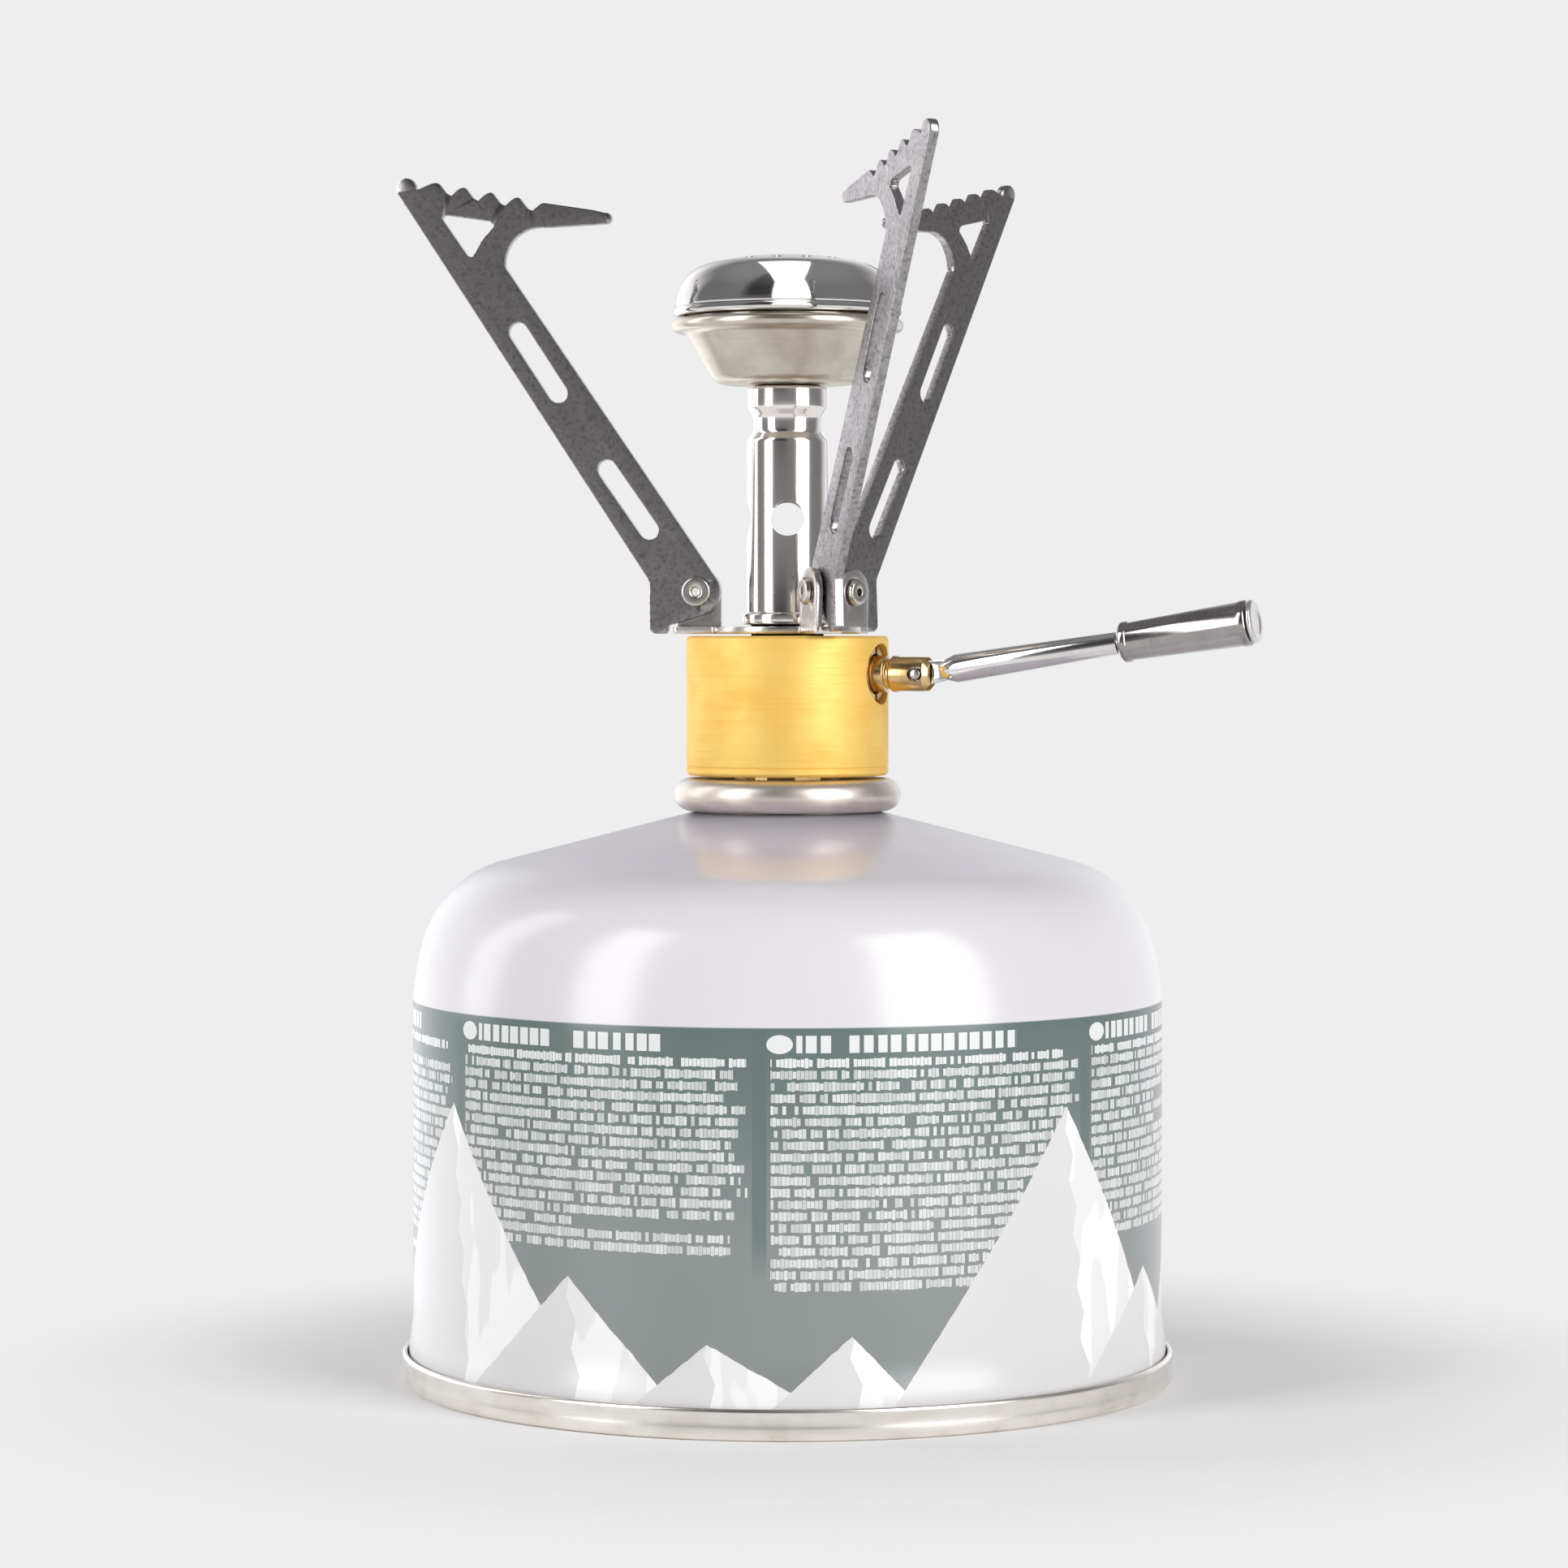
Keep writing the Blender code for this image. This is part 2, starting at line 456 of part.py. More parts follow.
def make_burner(axis):
    """Mixing tube with its air holes, burner cup, gauze and the cap with flame ports."""
    bright = finish("bright_steel", (0.75, 0.73, 0.71), 0.14, 1.0)
    satin = finish("champagne_steel", (0.66, 0.62, 0.56), 0.33, 1.0)
    mirror = finish("mirror_steel", (0.78, 0.76, 0.75), 0.08, 1.0)
    gauze_steel = finish("gauze_steel", (0.4, 0.4, 0.4), 0.5, 1.0)
    bore = TUBE_R - TUBE_WALL
    spigot_bore = SPIGOT_R - 1.6
    flange_top = FLANGE_Z + FLANGE_T
    collar_z = TUBE_TOP - 3.2
    neck_top = collar_z - 1.1
    neck_z = neck_top - 2.2
    tube_end = neck_z - 1.2
    upper_r = NECK_R - GAP
    tip = CUP_Z + 3.0
    tube = [(spigot_bore, SPIGOT_Z), (SPIGOT_R, SPIGOT_Z), (SPIGOT_R, FLANGE_Z), (FLANGE_R, FLANGE_Z),
            (FLANGE_R, flange_top - 0.3), (FLANGE_R - 0.3, flange_top), (TUBE_R, flange_top),
            (TUBE_R, tube_end),
            (NECK_R, neck_z), (NECK_R, neck_top), (COLLAR_R, collar_z), (COLLAR_R, TUBE_TOP - 0.3),
            (COLLAR_R - 0.3, TUBE_TOP), (upper_r, TUBE_TOP), (upper_r, tip), (NECK_BORE_R, tip),
            (NECK_BORE_R, neck_z + 0.4), (bore, tube_end - 0.4), (bore, flange_top + 1.6),
            (spigot_bore, flange_top - 0.4)]
    made = add_object("mixing_tube", turned(tube, MIDDLE), bright, axis)
    for index in range(2):
        drill = laid_along_x(turned([(0, -9), (AIR_HOLE_R, -9), (AIR_HOLE_R, 9), (0, 9)], SMALL))
        combine(made,
                add_object(f"air_hole_{index + 1}", drill, bright, axis, place=(0, 0, FLANGE_Z + AIR_HOLE_UP),
                                 turn=(0, 0, AIR_HOLE_FIRST + 90 * index)), "DIFFERENCE")

    hole_r = upper_r + GAP
    lip_r = LIP_R - LIP_SECTION
    rim_z = CUP_Z + CUP_HEIGHT
    step_r = SKIRT_R + GAP
    step_z = LIP_Z - 0.5
    lip = arc((lip_r, LIP_Z), LIP_SECTION, -120, 110, 7)
    outside = [(hole_r, CUP_Z), (CUP_FLOOR_R, CUP_Z), (CUP_KNEE_R - 0.9, CUP_Z + 0.4),
               (CUP_KNEE_R, CUP_Z + 1.4),
               (CUP_RIM_R, rim_z)]
    inside = [(step_r, LIP_Z + LIP_SECTION - 0.1), (step_r, step_z), (CUP_RIM_R - 0.6, step_z - 0.2),
              (CUP_KNEE_R - 0.6, CUP_Z + 1.7), (CUP_FLOOR_R + 0.4, CUP_Z + CUP_SHEET),
              (hole_r, CUP_Z + CUP_SHEET)]
    add_object("burner_cup", turned(outside + lip + inside, MIDDLE), satin, axis)

    gauze_z = CUP_Z + 5.3
    gauze_r = CUP_RIM_R - 2.3
    disc = [(0, gauze_z), (gauze_r, gauze_z), (gauze_r, gauze_z + 0.5), (0, gauze_z + 0.5)]
    add_object("burner_gauze", turned(disc, MIDDLE), gauze_steel, axis)

    wall_z = CAP_Z + 2.5
    hub = (CAP_R - CAP_SHOULDER, wall_z)
    crown_from = math.degrees(math.acos(hub[0] / (CAP_CROWN_R - CAP_SHOULDER)))
    crown_centre = hub[1] - math.sqrt((CAP_CROWN_R - CAP_SHOULDER) ** 2 - hub[0] ** 2)
    skirt_z = step_z + GAP
    bead_r = CAP_R - 0.1
    outer = [(SKIRT_R, skirt_z), (SKIRT_R, CAP_Z), (bead_r - 0.5, CAP_Z), (bead_r, CAP_Z + 0.6),
             (bead_r - 0.3, CAP_Z + 1.3), (CAP_R, CAP_Z + 1.8)]
    outer += arc(hub, CAP_SHOULDER, 0, crown_from, 5)
    outer += arc((0, crown_centre), CAP_CROWN_R, crown_from, 90, 3)[1:]
    inner = arc((0, crown_centre), CAP_CROWN_R - CAP_SHEET, 90, crown_from, 3)
    inner += arc(hub, CAP_SHOULDER - CAP_SHEET, crown_from, 0, 3)[1:]
    inner += [(SKIRT_R - CAP_SHEET, CAP_Z + 0.8), (SKIRT_R - CAP_SHEET, skirt_z)]
    cap = add_object("burner_cap", turned(inner + outer, MIDDLE), mirror, axis)
    for row, (ring_r, count) in enumerate(PORT_RINGS):
        drill = bmesh.new()
        for index in range(count):
            spot = Matrix.Rotation(math.tau * index / count, 4, "Z") @ Matrix.Translation((ring_r, 0, 0))
            bmesh.ops.create_cone(drill, cap_ends=True, segments=6, radius1=PORT_R, radius2=PORT_R, depth=12,
                                  matrix=spot)
        combine(cap, add_object(f"flame_ports_{row + 1}", drill, mirror, axis, place=(0, 0, CAP_Z + 10)),
                "DIFFERENCE")


def arm_outline():
    """Side view of a pot arm from its rivet: outward and up, with its teeth and its hook."""
    heel = [(4.2, -6.0), (6.3, -6.0), (6.9, -5.4), (6.9, 1.5)]
    tip = arc(ARM_TIP, ARM_TIP_R, -33, 190, 6)
    first_peak = (38.3, 59.1)
    pitch = (-3.97, -0.77)
    teeth = []
    for index in range(4):
        peak = (first_peak[0] + pitch[0] * index, first_peak[1] + pitch[1] * index)
        teeth += [(peak[0] + 0.3, peak[1]), (peak[0] - 0.3, peak[1]), (peak[0] - 2.05, peak[1] - 1.85)]
    hook = [(22.6, 56.0), (15.0, 54.8)] + arc((13.2, 53.6), 0.8, 80, 260, 4) + [(21.3, 52.4)]
    throat = arc((22.8, 47.15), 5.25, 90, -4, 6)
    boss = arc((0, 0), 3.4, 145.5, 262, 7)
    return heel + tip + teeth + hook + throat + boss + [(3.4, -4.6), (4.1, -4.8)]


def make_arms(axis):
    """Bracket with its three ears, the pot arms and their tubular rivets."""
    zinc = finish("bracket_steel", (0.66, 0.63, 0.60), 0.3, 1.0)
    plain = finish("arm_steel", (0.42, 0.41, 0.41), 0.4, 1.0)
    nickel = finish("rivet_nickel", (0.7, 0.67, 0.62), 0.2, 1.0)
    hole_r = RIVET_R + GAP
    ear_middle = -(ARM_T / 2 + GAP + BRACKET_T / 2)
    half_tab = math.asin(TAB_HALF / BRACKET_R)
    outline = []
    for index in range(ARM_COUNT):
        facing = math.radians(ARM_FIRST) + math.tau * index / ARM_COUNT
        tab_angle = math.atan2(TAB_HALF, TAB_REACH)
        tab_corner = math.hypot(TAB_HALF, TAB_REACH)
        for side in (-1, 1):
            angle = facing + side * tab_angle
            outline.append((tab_corner * math.cos(angle), tab_corner * math.sin(angle)))
        start = math.degrees(facing + half_tab)
        outline += arc((0, 0), BRACKET_R, start, start + 360 / ARM_COUNT - 2 * math.degrees(half_tab), 8)
    centre_hole = arc((0, 0), SPIGOT_R + GAP, 0, 360, 24)[:-1]
    bracket = add_object("arm_bracket", plate([outline, centre_hole], BRACKET_T, False), zinc, axis,
                         place=(0, 0, BRACKET_Z))
    foot = BRACKET_Z + BRACKET_T / 2 - PIVOT_Z
    ear = [(3.0, foot)] + arc((0, 0), EAR_R, 0, 180, 8) + [(-EAR_R, foot)]
    rivet_hole = arc((0, 0), hole_r, 0, 360, TINY)[:-1]
    slots = [stadium((20.3, 28.6), (26.1, 37.4), SLOT_HALF, 5),
             stadium((7.0, 8.9), (13.1, 17.6), SLOT_HALF, 5)]
    window = [(37.4, 54.0), (36.9, 54.4), (30.2, 53.4), (29.7, 52.7), (31.4, 50.8), (32.3, 49.2),
              (32.9, 48.3),
              (33.5, 48.4)]
    head_t = RIVET_HEAD_T
    near = -(ARM_T / 2 + GAP)
    far = ARM_T / 2 + BRACKET_T + 2 * GAP
    rivet = [(RIVET_BORE_R, near - head_t), (RIVET_HEAD_R - 0.3, near - head_t),
             (RIVET_HEAD_R, near - head_t / 2),
             (RIVET_HEAD_R, near), (RIVET_R, near), (RIVET_R, far), (RIVET_HEAD_R - 0.1, far),
             (RIVET_HEAD_R - 0.4, far + head_t), (RIVET_BORE_R, far + head_t)]
    for index in range(ARM_COUNT):
        number = index + 1
        facing = ARM_FIRST + 360 / ARM_COUNT * index
        pivot = empty(f"arm_pivot_{number}", axis, turn=(0, 0, facing))
        hinge = empty(f"arm_hinge_{number}", pivot, place=(ARM_PIVOT_R, 0, PIVOT_Z))
        ear_tool = add_object(f"ear_{number}", plate([ear, rivet_hole], BRACKET_T, True), zinc, hinge,
                              place=(0, ear_middle, 0))
        combine(bracket, ear_tool, "UNION")
        add_object(f"pot_arm_{number}", plate([arm_outline(), rivet_hole, window, *slots], ARM_T, True),
                   plain,
                   hinge, turn=(0, -ARM_LEAN_IN[index], 0))
        add_object(f"arm_rivet_{number}", turned(rivet, TINY), nickel, hinge, turn=(90, 0, 0))


def make_tap(axis):
    """Spindle with its needle and clevis, its seal and gland nut, and the folding handle."""
    brass = finish("spindle_brass", (0.74, 0.53, 0.2), 0.25, 1.0)
    rubber = finish("spindle_rubber", (0.03, 0.03, 0.03), 0.6, 0.0)
    steel = finish("handle_steel", (0.72, 0.70, 0.69), 0.12, 1.0)
    cap_steel = finish("knob_cap_steel", (0.8, 0.78, 0.75), 0.3, 1.0)
    way = empty("tap_axis", axis, place=(0, 0, SPINDLE_Z))
    hinge = empty("handle_hinge", way, place=(HANDLE_PIN_X, 0, 0), turn=(0, -HANDLE_TILT, 0))
    hole_r = HANDLE_PIN_R + GAP

    stem_x = SEAT_X + 1.2
    spindle = [(0, 1.4), (NEEDLE_R, 2.6), (NEEDLE_R, SEAT_X + 0.2), (SPINDLE_R, stem_x),
               (SPINDLE_R, SPINDLE_END - 0.4),
               (SPINDLE_R - 0.4, SPINDLE_END), (0, SPINDLE_END)]
    stem = add_object("valve_spindle", laid_along_x(turned(spindle, SMALL)), brass, way)
    slot = bmesh.new()
    bmesh.ops.create_cube(slot, size=1,
                          matrix=Matrix.Diagonal((2 * CLEVIS_DEPTH, CLEVIS_SLOT, 4 * SPINDLE_R, 1)))
    combine(stem, add_object("clevis_slot", slot, brass, way, place=(SPINDLE_END, 0, 0)), "DIFFERENCE")
    drill = turned([(0, -5), (hole_r, -5), (hole_r, 5), (0, 5)], TINY)
    combine(stem, add_object("clevis_hole", drill, brass, way, place=(HANDLE_PIN_X, 0, 0), turn=(90, 0, 0)),
            "DIFFERENCE")

    ring_in = SPINDLE_R + GAP
    ring_out = SEAL_POCKET_R - GAP
    ring = [(ring_in, SEAL_POCKET_X + GAP), (ring_out, SEAL_POCKET_X + GAP), (ring_out, SEAL_POCKET_X + 1.3),
            (ring_in, SEAL_POCKET_X + 1.3)]
    add_object("spindle_seal", laid_along_x(turned(ring, SMALL)), rubber, way)

    gland_x = SEAL_POCKET_X + 1.3 + TAP_TRAVEL + 2 * GAP
    gland_out = COUNTERBORE_R - GAP
    gland = [(ring_in, gland_x), (gland_out, gland_x), (gland_out, gland_x + GLAND_T),
             (ring_in, gland_x + GLAND_T)]
    add_object("gland_nut", laid_along_x(turned(gland, SMALL)), brass, way)

    pin_half = SPINDLE_R - 0.1
    pin = [(0, -pin_half), (HANDLE_PIN_R, -pin_half), (HANDLE_PIN_R, pin_half), (0, pin_half)]
    add_object("handle_pin", turned(pin, TINY), steel, way, place=(HANDLE_PIN_X, 0, 0), turn=(90, 0, 0))

    socket_end = KNOB_START + 6.0
    stub_r = ROD_END_R - 0.3
    rod = [(0, ROD_START), (ROD_R - 0.5, ROD_START), (ROD_R, ROD_START + 1.5), (ROD_END_R, KNOB_START - GAP),
           (stub_r, KNOB_START - GAP), (stub_r, socket_end - GAP), (0, socket_end - GAP)]
    handle = add_object("handle_rod", laid_along_x(turned(rod, SMALL)), steel, hinge)
    tongue = [(ROD_START + 1.0, -TONGUE_R + 0.4), (ROD_START + 1.0, TONGUE_R - 0.4), (1.0, TONGUE_R - 0.1)]
    tongue += arc((0, 0), TONGUE_R, 75, 285, 7) + [(1.0, -TONGUE_R + 0.1)]
    eye = arc((0, 0), hole_r, 0, 360, TINY)[:-1]
    tongue_tool = add_object("tongue", plate([tongue, eye], CLEVIS_SLOT - 2 * GAP, True), steel, hinge)
    combine(handle, tongue_tool, "UNION")

    bore = stub_r + GAP
    plug_r = 1.6
    plug_z = KNOB_END - 5.2
    grip_end = KNOB_END - 0.9
    grip = [(bore, KNOB_START), (KNOB_R - 0.3, KNOB_START), (KNOB_R, KNOB_START + 0.4),
            (KNOB_END_R, grip_end - 0.3),
            (KNOB_END_R - 0.2, grip_end), (plug_r + GAP, grip_end), (plug_r + GAP, plug_z - GAP),
            (1.2, plug_z - GAP),
            (1.2, socket_end), (bore, socket_end)]
    add_object("handle_knob", laid_along_x(turned(grip, SMALL)), steel, hinge)
    plug = [(0, plug_z), (plug_r, plug_z), (plug_r, grip_end + GAP), (KNOB_END_R - 0.1, grip_end + GAP),
            (KNOB_END_R - 0.1, KNOB_END - 0.2), (KNOB_END_R - KNOB_BEVEL, KNOB_END), (0, KNOB_END)]
    add_object("knob_cap", laid_along_x(turned(plug, SMALL)), cap_steel, hinge)


clear_scene()
stove_axis = empty("stove_axis", place=(AXIS_X, 0, 0))
make_cartridge(stove_axis)
make_inlet(stove_axis)
make_tap_body(stove_axis)
make_burner(stove_axis)
make_arms(stove_axis)
make_tap(stove_axis)
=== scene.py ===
"""Looks of a canister-top camping stove on its gas cartridge.

Sizes are millimetres from the stove's upright axis and the surface it stands
on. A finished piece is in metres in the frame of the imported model.
"""
import json
import logging
import math
from dataclasses import dataclass
from enum import Enum
from typing import Callable, Optional, Union

import bmesh
import bpy
from mathutils import Matrix, Vector


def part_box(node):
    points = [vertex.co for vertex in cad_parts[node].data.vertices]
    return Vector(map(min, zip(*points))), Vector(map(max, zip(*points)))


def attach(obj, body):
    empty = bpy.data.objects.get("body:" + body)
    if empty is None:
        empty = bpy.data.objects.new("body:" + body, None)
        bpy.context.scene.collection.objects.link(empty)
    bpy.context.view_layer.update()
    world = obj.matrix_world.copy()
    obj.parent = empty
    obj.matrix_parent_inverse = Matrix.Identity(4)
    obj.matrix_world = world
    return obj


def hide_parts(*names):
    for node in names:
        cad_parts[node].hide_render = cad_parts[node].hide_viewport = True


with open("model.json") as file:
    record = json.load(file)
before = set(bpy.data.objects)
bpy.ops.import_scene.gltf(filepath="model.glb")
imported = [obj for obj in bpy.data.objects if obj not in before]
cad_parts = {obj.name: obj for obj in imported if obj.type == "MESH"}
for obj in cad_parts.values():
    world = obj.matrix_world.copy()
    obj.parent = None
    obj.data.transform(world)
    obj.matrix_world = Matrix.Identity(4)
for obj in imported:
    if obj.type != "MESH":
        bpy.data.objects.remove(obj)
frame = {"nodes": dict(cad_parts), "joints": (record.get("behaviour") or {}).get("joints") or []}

LOG = logging.getLogger("stove")
MM = 0.001
PER_METRE = 1000.0
FRONT = -68.0  # degrees from +X to the side that the camera sees
SHARP = math.radians(34)  # edges that bend more are shaded as sharp
CORNER = math.radians(24)  # outline corners that turn more are rounded
RIM = math.radians(60)  # edges that bend more are bevelled
REACH = 0.42  # share of the shorter edge that a rounded corner may take
TINY = 1e-6
WELD = 1e-4

Point = tuple[float, float]
Colour = tuple[float, float, float]


class Body(Enum):
    """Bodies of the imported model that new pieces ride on."""

    CARTRIDGE = "cartridge"
    STOVE = "stove"
    SPINDLE = "spindle"
    HANDLE = "handle"
    ARM_1 = "arm_1"
    ARM_2 = "arm_2"
    ARM_3 = "arm_3"


class Slot(Enum):
    """Material slots of the record, passed along with new pieces but not read."""

    PAINT = "cartridge_paint"
    TINPLATE = "tinplate"
    SATIN_TIN = "satin_tin"
    BRASS = "brass"
    GOLD = "gold_anodised"
    BRIGHT = "bright_steel"
    CHAMPAGNE = "champagne_steel"
    MIRROR = "mirror_steel"
    BRACKET = "bracket_steel"
    ARM = "arm_steel"
    NICKEL = "rivet_nickel"


class Grain(Enum):
    """Which way the fine marks run on a metal: their thickness along x, y and z, in marks per mm."""

    ROUND_Z = (0.10, 0.10, 3.2)
    ROUND_X = (3.2, 0.10, 0.10)
    TUMBLED = (1.6, 1.6, 1.6)
    SMOOTH = (0.25, 0.25, 0.25)


def maths(operation: str, swapped: bool = False) -> Callable[..., "Signal"]:
    """Make a method of Signal that adds a Math node.

    Args:
        operation: The node's operation.
        swapped: Whether the other value comes first.

    Returns:
        The method.
    """
    def method(self: "Signal", *others: "Number") -> "Signal":
        """Add the node."""
        return self.bench.math(operation, *((*others, self) if swapped else (self, *others)))
    return method


class Signal:
    """A number that varies over a surface, with arithmetic that adds Math nodes."""

    __add__ = maths("ADD")
    __radd__ = maths("ADD", True)
    __sub__ = maths("SUBTRACT")
    __rsub__ = maths("SUBTRACT", True)
    __mul__ = maths("MULTIPLY")
    __rmul__ = maths("MULTIPLY", True)
    __truediv__ = maths("DIVIDE")
    __lt__ = maths("LESS_THAN")
    __gt__ = maths("GREATER_THAN")
    __abs__ = maths("ABSOLUTE")
    floor = maths("FLOOR")

    def __init__(self, bench: "Bench", socket: bpy.types.NodeSocket) -> None:
        """Wrap a socket of a bench's node tree."""
        self.bench = bench
        self.socket = socket

    def between(self, low: "Number", high: "Number") -> "Signal":
        """1 between two limits, else 0."""
        return (self > low) * (self < high)

    def ramp(self, low: float, high: float) -> "Signal":
        """Rise smoothly from 0 at one value to 1 at another."""
        settings = {"interpolation_type": "SMOOTHSTEP"}
        return self.bench.node("ShaderNodeMapRange", settings, {0: self, 1: low, 2: high, 3: 0.0, 4: 1.0})


Number = Union[float, Signal]


class Bench:
    """A node tree that is being filled, either a material's or the world's."""

    def __init__(self, tree: bpy.types.NodeTree) -> None:
        """Clear a node tree and take it over."""
        self.tree = tree
        tree.nodes.clear()

    def node(self, kind: str, settings: Optional[dict] = None, values: Optional[dict] = None,
             output: Union[int, str] = 0) -> Signal:
        """Add a node.

        Args:
            kind: Node type.
            settings: Properties, set first.
            values: Value or signal for each input, by its name or number.
            output: The output that is wanted.

        Returns:
            That output.
        """
        made = self.tree.nodes.new(kind)
        for key, value in (settings or {}).items():
            setattr(made, key, value)
        for key, value in (values or {}).items():
            if isinstance(value, Signal):
                self.tree.links.new(value.socket, made.inputs[key])
            else:
                made.inputs[key].default_value = value
        return Signal(self, made.outputs[output])

    def math(self, operation: str, *terms: Number) -> Signal:
        """Add a Math node."""
        return self.node("ShaderNodeMath", {"operation": operation}, dict(enumerate(terms)))

    def blend(self, factor: Number, first: Union[Colour, Signal], second: Union[Colour, Signal],
              how: str = "MIX") -> Signal:
        """Mix two colours.

        Args:
            factor: 0 for the first, 1 for the second.
            first: First colour.
            second: Second colour.
            how: Blend type.

        Returns:
            The mixed colour.
        """
        colours = [item if isinstance(item, Signal) else (*item, 1.0) for item in (first, second)]
        return self.node("ShaderNodeMix", {"data_type": "RGBA", "blend_type": how},
                         {0: factor, 6: colours[0], 7: colours[1]}, 2)

    def place(self, scale: tuple[float, float, float] = (1.0, 1.0, 1.0), centre: float = 0.0) -> Signal:
        """Position on the object in millimetres, times a scale, measured from a point on the x axis.

        Args:
            scale: Factor along each axis.
            centre: Where the point is, in millimetres.

        Returns:
            The position.
        """
        spot = self.node("ShaderNodeTexCoord", output="Object")
        sizes = tuple(PER_METRE * factor for factor in scale)
        return self.node("ShaderNodeMapping", {}, {"Vector": spot, "Scale": sizes,
                                                   "Location": (-centre * scale[0], 0.0, 0.0)})

    def split(self, vector: Signal) -> tuple[Signal, Signal, Signal]:
        """Take a vector apart.

        Args:
            vector: The vector.

        Returns:
            Its three numbers.
        """
        first = self.node("ShaderNodeSeparateXYZ", {}, {0: vector})
        outputs = first.socket.node.outputs
        return first, Signal(self, outputs[1]), Signal(self, outputs[2])

    def noise(self, where: Signal, scale: float, detail: float = 3.0, roughness: float = 0.55) -> Signal:
        """Smooth noise from 0 to 1."""
        return self.node("ShaderNodeTexNoise", {}, {"Vector": where, "Scale": scale, "Detail": detail,
                                                    "Roughness": roughness})

    def dice(self, first: Number, second: Number) -> tuple[Signal, Signal, Signal]:
        """Three random numbers for each pair of whole numbers.

        Args:
            first: One of the pair.
            second: The other.

        Returns:
            The three numbers, from 0 to 1.
        """
        pair = self.node("ShaderNodeCombineXYZ", {}, {0: first, 1: second})
        thrown = self.node("ShaderNodeTexWhiteNoise", {"noise_dimensions": "2D"}, {0: pair}, 1)
        return self.split(thrown)

    def bump(self, height: Signal, strength: float, distance: float) -> Signal:
        """Surface normal of a height in units of a distance in millimetres."""
        return self.node("ShaderNodeBump", {}, {"Height": height, "Strength": strength,
                                                "Distance": distance * MM})

    def close(self, shader: Signal, target: str = "ShaderNodeOutputMaterial") -> None:
        """Send a shader to the tree's output."""
        end = self.tree.nodes.new(target)
        self.tree.links.new(shader.socket, end.inputs["Surface"])

    def coat(self, values: dict) -> None:
        """Close a material with a Principled shader."""
        self.close(self.node("ShaderNodeBsdfPrincipled", {}, values))


def new_material(name: str) -> tuple[bpy.types.Material, Bench]:
    """Start a material.

    Args:
        name: Its name.

    Returns:
        The material and the bench of its node tree.
    """
    made = bpy.data.materials.new(name)
    made.use_nodes = True
    return made, Bench(made.node_tree)


@dataclass(frozen=True)
class MetalFinish:
    """Bare, plated or anodised metal with fine marks, faint smudges and a little colour change."""

    name: str
    colour: Colour
    tint: Colour
    roughness: float
    unevenness: float = 0.08
    grain: Grain = Grain.SMOOTH
    marks: float = 0.15
    depth: float = 0.02
    mottle: float = 0.12
    metallic: float = 1.0
    speckle: float = 0.3

    def mix(self) -> bpy.types.Material:
        """Make the material.

        Returns:
            A metallic material whose marks follow the grain.
        """
        made, bench = new_material(self.name)
        marks = bench.noise(bench.place(self.grain.value), 1.0, 4.0, 0.6)
        cloud = bench.noise(bench.place(), self.mottle, 3.0, 0.5)
        shift = cloud.ramp(0.35, 0.7) * (1.0 - self.speckle) + marks.ramp(0.4, 0.75) * self.speckle
        colour = bench.blend(shift, self.colour, self.tint)
        rough = self.roughness + (marks - 0.5) * self.unevenness + (cloud - 0.5) * self.unevenness
        normal = bench.bump(marks, self.marks, self.depth)
        bench.coat({"Base Color": colour, "Metallic": self.metallic, "Roughness": rough, "Normal": normal})
        return made


@dataclass(frozen=True)
class RubberFinish:
    """Matte black seal rubber with a fine moulded skin."""

    name: str = "nitrile_rubber"
    colour: Colour = (0.022, 0.022, 0.024)
    worn: Colour = (0.05, 0.05, 0.052)

    def mix(self) -> bpy.types.Material:
        """Make the material.

        Returns:
            A dark matte material.
        """
        made, bench = new_material(self.name)
        skin = bench.noise(bench.place(), 1.5, 5.0)
        bench.coat({"Base Color": bench.blend(skin, self.colour, self.worn), "Roughness": 0.55 + skin * 0.2,
                    "Normal": bench.bump(skin, 0.4, 0.05)})
        return made


@dataclass(frozen=True)
class SinteredFinish:
    """Porous metal of small round beads pressed together, with painted shade in the pits between them."""

    name: str = "sintered_beads"
    colour: Colour = (0.42, 0.27, 0.14)
    # Painted shade: dark colour for the pits between beads
    pits: Colour = (0.12, 0.07, 0.035)

    def mix(self) -> bpy.types.Material:
        """Make the material.

        Returns:
            A rough metallic material with painted shade darkening the pits between beads.
        """
        made, bench = new_material(self.name)
        beads = bench.node("ShaderNodeTexVoronoi", {}, {"Vector": bench.place(), "Scale": 4.0})
        # Painted shade: darker towards each bead's edge, in the pits between beads
        bench.coat({"Base Color": bench.blend(beads, self.colour, self.pits), "Metallic": 1.0,
                    "Roughness": 0.6, "Normal": bench.bump(1.0 - beads, 0.8, 0.1)})
        return made


@dataclass(frozen=True)
class Peak:
    """A printed mountain: where it stands, how high, and how steep its sides are.

    Angles are degrees round the can, heights millimetres, and slopes millimetres a degree.
    """

    at: float
    top: float
    left: float
    right: float


PEAKS = (
    Peak(-152.0, 15.5, 0.8, 0.7), Peak(-128.0, 33.0, 1.2, 1.25), Peak(-102.0, 17.0, 0.8, 0.9),
    Peak(-82.0, 14.0, 0.8, 0.6), Peak(-58.9, 42.2, 1.12, 1.26), Peak(-33.3, 20.6, 0.88, 0.93),
    Peak(-11.5, 12.6, 0.78, 0.52), Peak(9.2, 13.7, 0.83, 0.98), Peak(44.8, 42.7, 1.3, 1.41),
    Peak(67.4, 18.8, 0.75, 0.8), Peak(92.0, 29.0, 1.15, 1.3), Peak(114.0, 13.0, 0.7, 0.6),
    Peak(136.0, 24.0, 1.0, 0.9), Peak(160.0, 14.0, 0.7, 0.65),
)


